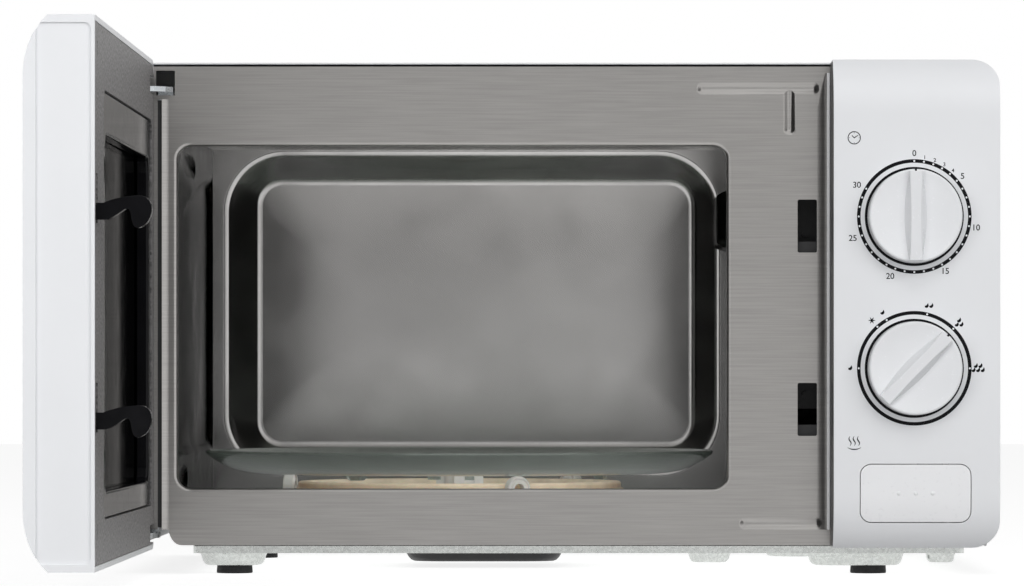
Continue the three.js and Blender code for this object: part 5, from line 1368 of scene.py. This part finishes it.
class OVEN_OT_door_lining(bpy.types.Operator):
    """Makes the door's inside: speckled sheet, black border, film and screen"""

    bl_idname = "oven.door_lining"
    bl_label = "Door lining"

    def execute(self, context):
        edge = context.scene.oven_sizes.sheet_edge / MM
        add("door_sheet", self.sheet(), "grey_paint", "door", ["door_inner_panel"], edge=edge)
        border = self.border()
        add("choke_border", border, "gloss_black", "door", ["choke_cover"], edge=0.5, steps=3)
        film = slab(INNER_WINDOW, 6, FILM_Y - 0.5, FILM_Y)
        add("window_film", film, "smoked_window", "door", ["inner_window_film"], edge=0)
        screen = slab(CHOKE, -0.3, FILM_Y - 1.6, FILM_Y - 0.8)
        add("screen_sheet", screen, "screen_steel", "door", ["door_screen"], edge=0)
        return {"FINISHED"}

    def sheet(self):
        back, front = DOOR_INNER - SHEET, DOOR_INNER + 1
        parts = [slab(CHOKE, SHEET, -14, back + 0.2)]
        for z in (DOOR_BOTTOM + 2.8, DOOR_TOP - 3.6):  # folded edges
            parts.append(block(DOOR_LEFT + 25, DOOR_RIGHT - 9, back - 6, back + 0.2, z, z + SHEET))
        sheet = join(prism("y", door_outline(2.8, 10), back, DOOR_INNER), *parts)
        holes = [slab(CHOKE, 0, -15, front)]
        for z in LATCHES:
            holes.append(block(SLOT_X - 5, SLOT_X + 5, back - 1, front, z - 1.3, z + 20.7))
        for z0, z1 in CLIPS:
            clip = rounded(SLOT_X - 3.4, SLOT_X - 1.6, z0, z1, 0.8, 4)
            holes.append(prism("y", clip, back - 1, front))
        return cut(sheet, *holes, *hinge_pockets())

    def border(self):
        """A polished frame: flat border, rounded shoulder and a sloping well down to the film."""
        outer, inner, face = grow(CHOKE, -0.3), INNER_WINDOW, DOOR_INNER - 0.6
        path = [(outer, FILM_Y - 0.4), (outer, face - 0.9)]
        path += [(grow(outer, -0.25), face - 0.25), (grow(outer, -0.9), face)]
        for a in [angle * DEGREE for angle in range(0, 91, 15)]:
            path.append((grow(inner, 1.4 * (1 - math.sin(a))), face - 1.4 * (1 - math.cos(a))))
        within, without = grow(inner, 1.8), grow(outer, -1.8)
        path += [(inner, FILM_Y + 0.4), (within, FILM_Y + 0.4), (within, face - 1.6)]
        path += [(without, face - 1.6), (without, FILM_Y - 0.4)]
        return loft(tiers("y", 12, path), closed=True)


class OVEN_OT_latch(bpy.types.Operator):
    """Moulds the two latch hooks on their sliding bar"""

    bl_idname = "oven.latch"
    bl_label = "Latch hooks"

    def execute(self, context):
        bar = prism("y", rounded(SLOT_X - 4, SLOT_X + 4, 62, 186, 2, 5), -14, -7)
        hooks = [prism("x", self.hook(z), SLOT_X - 3.5, SLOT_X + 3.5) for z in LATCHES]
        hooks = join(bar, *hooks)
        add("hook_bar", hooks, "gloss_black", "hooks", ["latch_hooks"], edge=0.9, steps=3)
        return {"FINISHED"}

    def hook(self, z):
        """A hook from the side, as (y, z) points: its underside out to the tip, then its back."""
        top, tip = z + 7.5, DOOR_INNER + 24.6
        loop = bends(
            (2.5, z),
            ((5, z + 0.2), (11, z + 4.6), 8),
            ((13.4, z + 5.8), (13.9, z + 2), 6),
            ((14.4, z - 3.6), (17, z - 3.6), 8),
            ((tip - 1, z - 2.4), (tip, z + 4), 10),
            ((tip, top + 3.2), (17, top + 3.2), 10),
            ((8, top + 2.8), (1.5, top), 8),
        )
        return [(-8, z), *loop, (-8, top)]


class OVEN_OT_turntable(bpy.types.Operator):
    """Presses the glass plate and makes the roller ring with its wheels"""

    bl_idname = "oven.turntable"
    bl_label = "Turntable"

    FLAT, RIM = 108, 135  # radius of the plate's flat middle and of its rim
    RING_LOW, RING_HIGH = 39.6, 45
    WHEEL_REACH = 92.3

    def execute(self, context):
        glass, nodes = self.plate(), ["glass_turntable"]
        add("glass_plate", glass, "turntable_glass", "glass_tray", nodes, edge=0.35, steps=3)
        glass.visible_shadow = False  # clear glass lets the light through to the ring below
        add("ring_moulding", self.ring(), "amber_plastic", "ring", ["roller_ring"])
        for k, angle in enumerate(WHEELS, 1):
            nodes = [f"roller_wheel_{k}"]
            add(f"wheel_{k}_tyre", self.wheel(angle), "nylon", f"wheel_{k}", nodes, edge=0.25)
        return {"FINISHED"}

    def around(self, shape, angle):
        turn = Matrix.Rotation(angle * DEGREE, 4, "Z")
        return moved(shape, Matrix.Translation((TURN_X, TURN_Y, 0)) @ turn)

    def plate(self):
        flat, rim, under = self.FLAT, self.RIM, GLASS_Z
        below = bends(
            (flat - 4, under),
            ((flat + 6, under), (flat + 14, under + 3), 8),
            ((rim - 5, under + 6.5), (rim - 0.6, under + 10.4), 8),
        )
        edge = [(rim, under + 11.2), (rim - 0.3, under + 12.1)]
        edge += [(rim - 1.2, under + 12.4), (rim - 2.4, under + 12.1)]
        slope = (rim - 4, under + 11.2), (flat + 13, under + 7), (flat + 2, under + 5.2)
        above = [*quadratic(*slope, 10), (flat - 3, under + 5), (0, under + 5)]
        disc = turned([(0, under), *below, *edge, *above], (TURN_X, TURN_Y, 0), "z", 128)
        lugs = [self.around(self.lug(), angle) for angle in (-13.4, 106.6, 226.6)]
        for angle in (30, 150, 270):
            lugs.append(self.around(block(10, 15, 3, 8, under - 3.5, under + 0.5), angle))
        return join(disc, *lugs)

    def lug(self):
        """A tapered locating lug under the glass."""
        path = []
        for share, height in ((0, 0.5), (0.1, -0.2), (0.9, -2.6), (1.2, -3)):
            end, side = 0.8 * share, 2.6 * share
            path.append(((74 + end, 80 - end, -7 + side, 7 - side, 1), GLASS_Z + height))
        return loft(tiers("z", 4, path))

    def ring(self):
        """The roller ring with an ear and an axle for each wheel."""
        low, high = self.RING_LOW, self.RING_HIGH
        section = [(80, low), (87.5, low), (87.5, low + 1.4), (86, low + 2), (86, high - 1)]
        section += [(85, high), (81.4, high), (80.6, high - 1), (80, low)]
        arms = []
        for angle in WHEELS:
            axle = prism("x", circle(0, WHEEL_Z, 2.1, 24), 85.5, 96.3)
            head = prism("x", circle(0, WHEEL_Z, 3.1, 24), 95.4, 97.1)
            ear = prism("x", rounded(-5.5, 5.5, low, WHEEL_Z + 3.6, 2.2, 5), 85.2, 88.2)
            turn = Matrix.Rotation(angle * DEGREE, 4, "Z")
            arms += [moved(arm, turn) for arm in (axle, head, ear)]
        return self.around(join(turned(section, (0, 0, 0), "z", 128), *arms), 0)

    def wheel(self, angle):
        """A wheel with a groove in each side, rolling round the ring."""
        half, bore, r = 3, 2.5, 6.25
        side = [(bore, -half), (3.6, -half), (3.9, 0.7 - half), (4.9, 0.7 - half), (5.2, -half)]
        side += [(r - 0.5, -half), (r, 0.8 - half)]
        section = side + [(across, -y) for across, y in reversed(side)] + [side[0]]
        return self.around(turned(section, (self.WHEEL_REACH, 0, WHEEL_Z), "x", 40), angle)


class OVEN_OT_inner_works(bpy.types.Operator):
    """Finishes the parts that keep their CAD shape, most of them behind the covers"""

    bl_idname = "oven.inner_works"
    bl_label = "Inner works"

    FINISHED_APART = {
        # The floor takes the paler copy of the cavity steel: painted light.
        "cavity_floor": "floor_steel_painted_light",
        # The right wall takes the darker copy of the cavity steel: painted shade.
        "cavity_right_wall": "wall_steel_painted_shade",
        "latch_board": "black_plastic",
    }

    def execute(self, context):
        finishes = {p["node"]: p["material_slot"] for p in frame["record"]["subparts"]}
        finishes.update(self.FINISHED_APART)
        for name, node in frame["nodes"].items():
            if node.hide_render:
                continue
            if not node.material_slots:
                raise RuntimeError(f"{name} has no material slot")
            for spot in node.material_slots:
                spot.link = "OBJECT"
                spot.material = FINISHES[finishes[name]]()
            eased(node, 0.25, 1)
        return {"FINISHED"}


STEPS = (
    OVEN_OT_stage,
    OVEN_OT_cabinet,
    OVEN_OT_front_plate,
    OVEN_OT_cavity,
    OVEN_OT_underside,
    OVEN_OT_panel,
    OVEN_OT_knobs,
    OVEN_OT_open_button,
    OVEN_OT_door,
    OVEN_OT_door_lining,
    OVEN_OT_latch,
    OVEN_OT_turntable,
    OVEN_OT_inner_works,
)
SETTINGS = {"oven_colours": OvenColours, "oven_sizes": OvenSizes, "oven_stage": OvenStage}


class OVEN_PT_parts(bpy.types.Panel):
    """Lists the oven's settings and the operators that make its pieces"""

    bl_label = "Microwave Oven"
    bl_space_type = "VIEW_3D"
    bl_region_type = "UI"
    bl_category = "Oven"

    def draw(self, context):
        for group in SETTINGS:
            box = self.layout.box()
            settings = getattr(context.scene, group)
            for name in settings.bl_rna.properties.keys():
                if name not in ("rna_type", "name"):
                    box.prop(settings, name)
        for step in STEPS:
            self.layout.operator(step.bl_idname)


def register():
    for group, kind in SETTINGS.items():
        bpy.utils.register_class(kind)
        setattr(bpy.types.Scene, group, bpy.props.PointerProperty(type=kind))
    for kind in (*STEPS, OVEN_PT_parts):
        bpy.utils.register_class(kind)


def unregister():
    for kind in (OVEN_PT_parts, *reversed(STEPS)):
        bpy.utils.unregister_class(kind)
    for group, kind in SETTINGS.items():
        delattr(bpy.types.Scene, group)
        bpy.utils.unregister_class(kind)


def main():
    register()
    for step in STEPS:
        name = step.bl_idname.split(".")[1]
        getattr(bpy.ops.oven, name)()


if __name__ == "__main__":
    main()
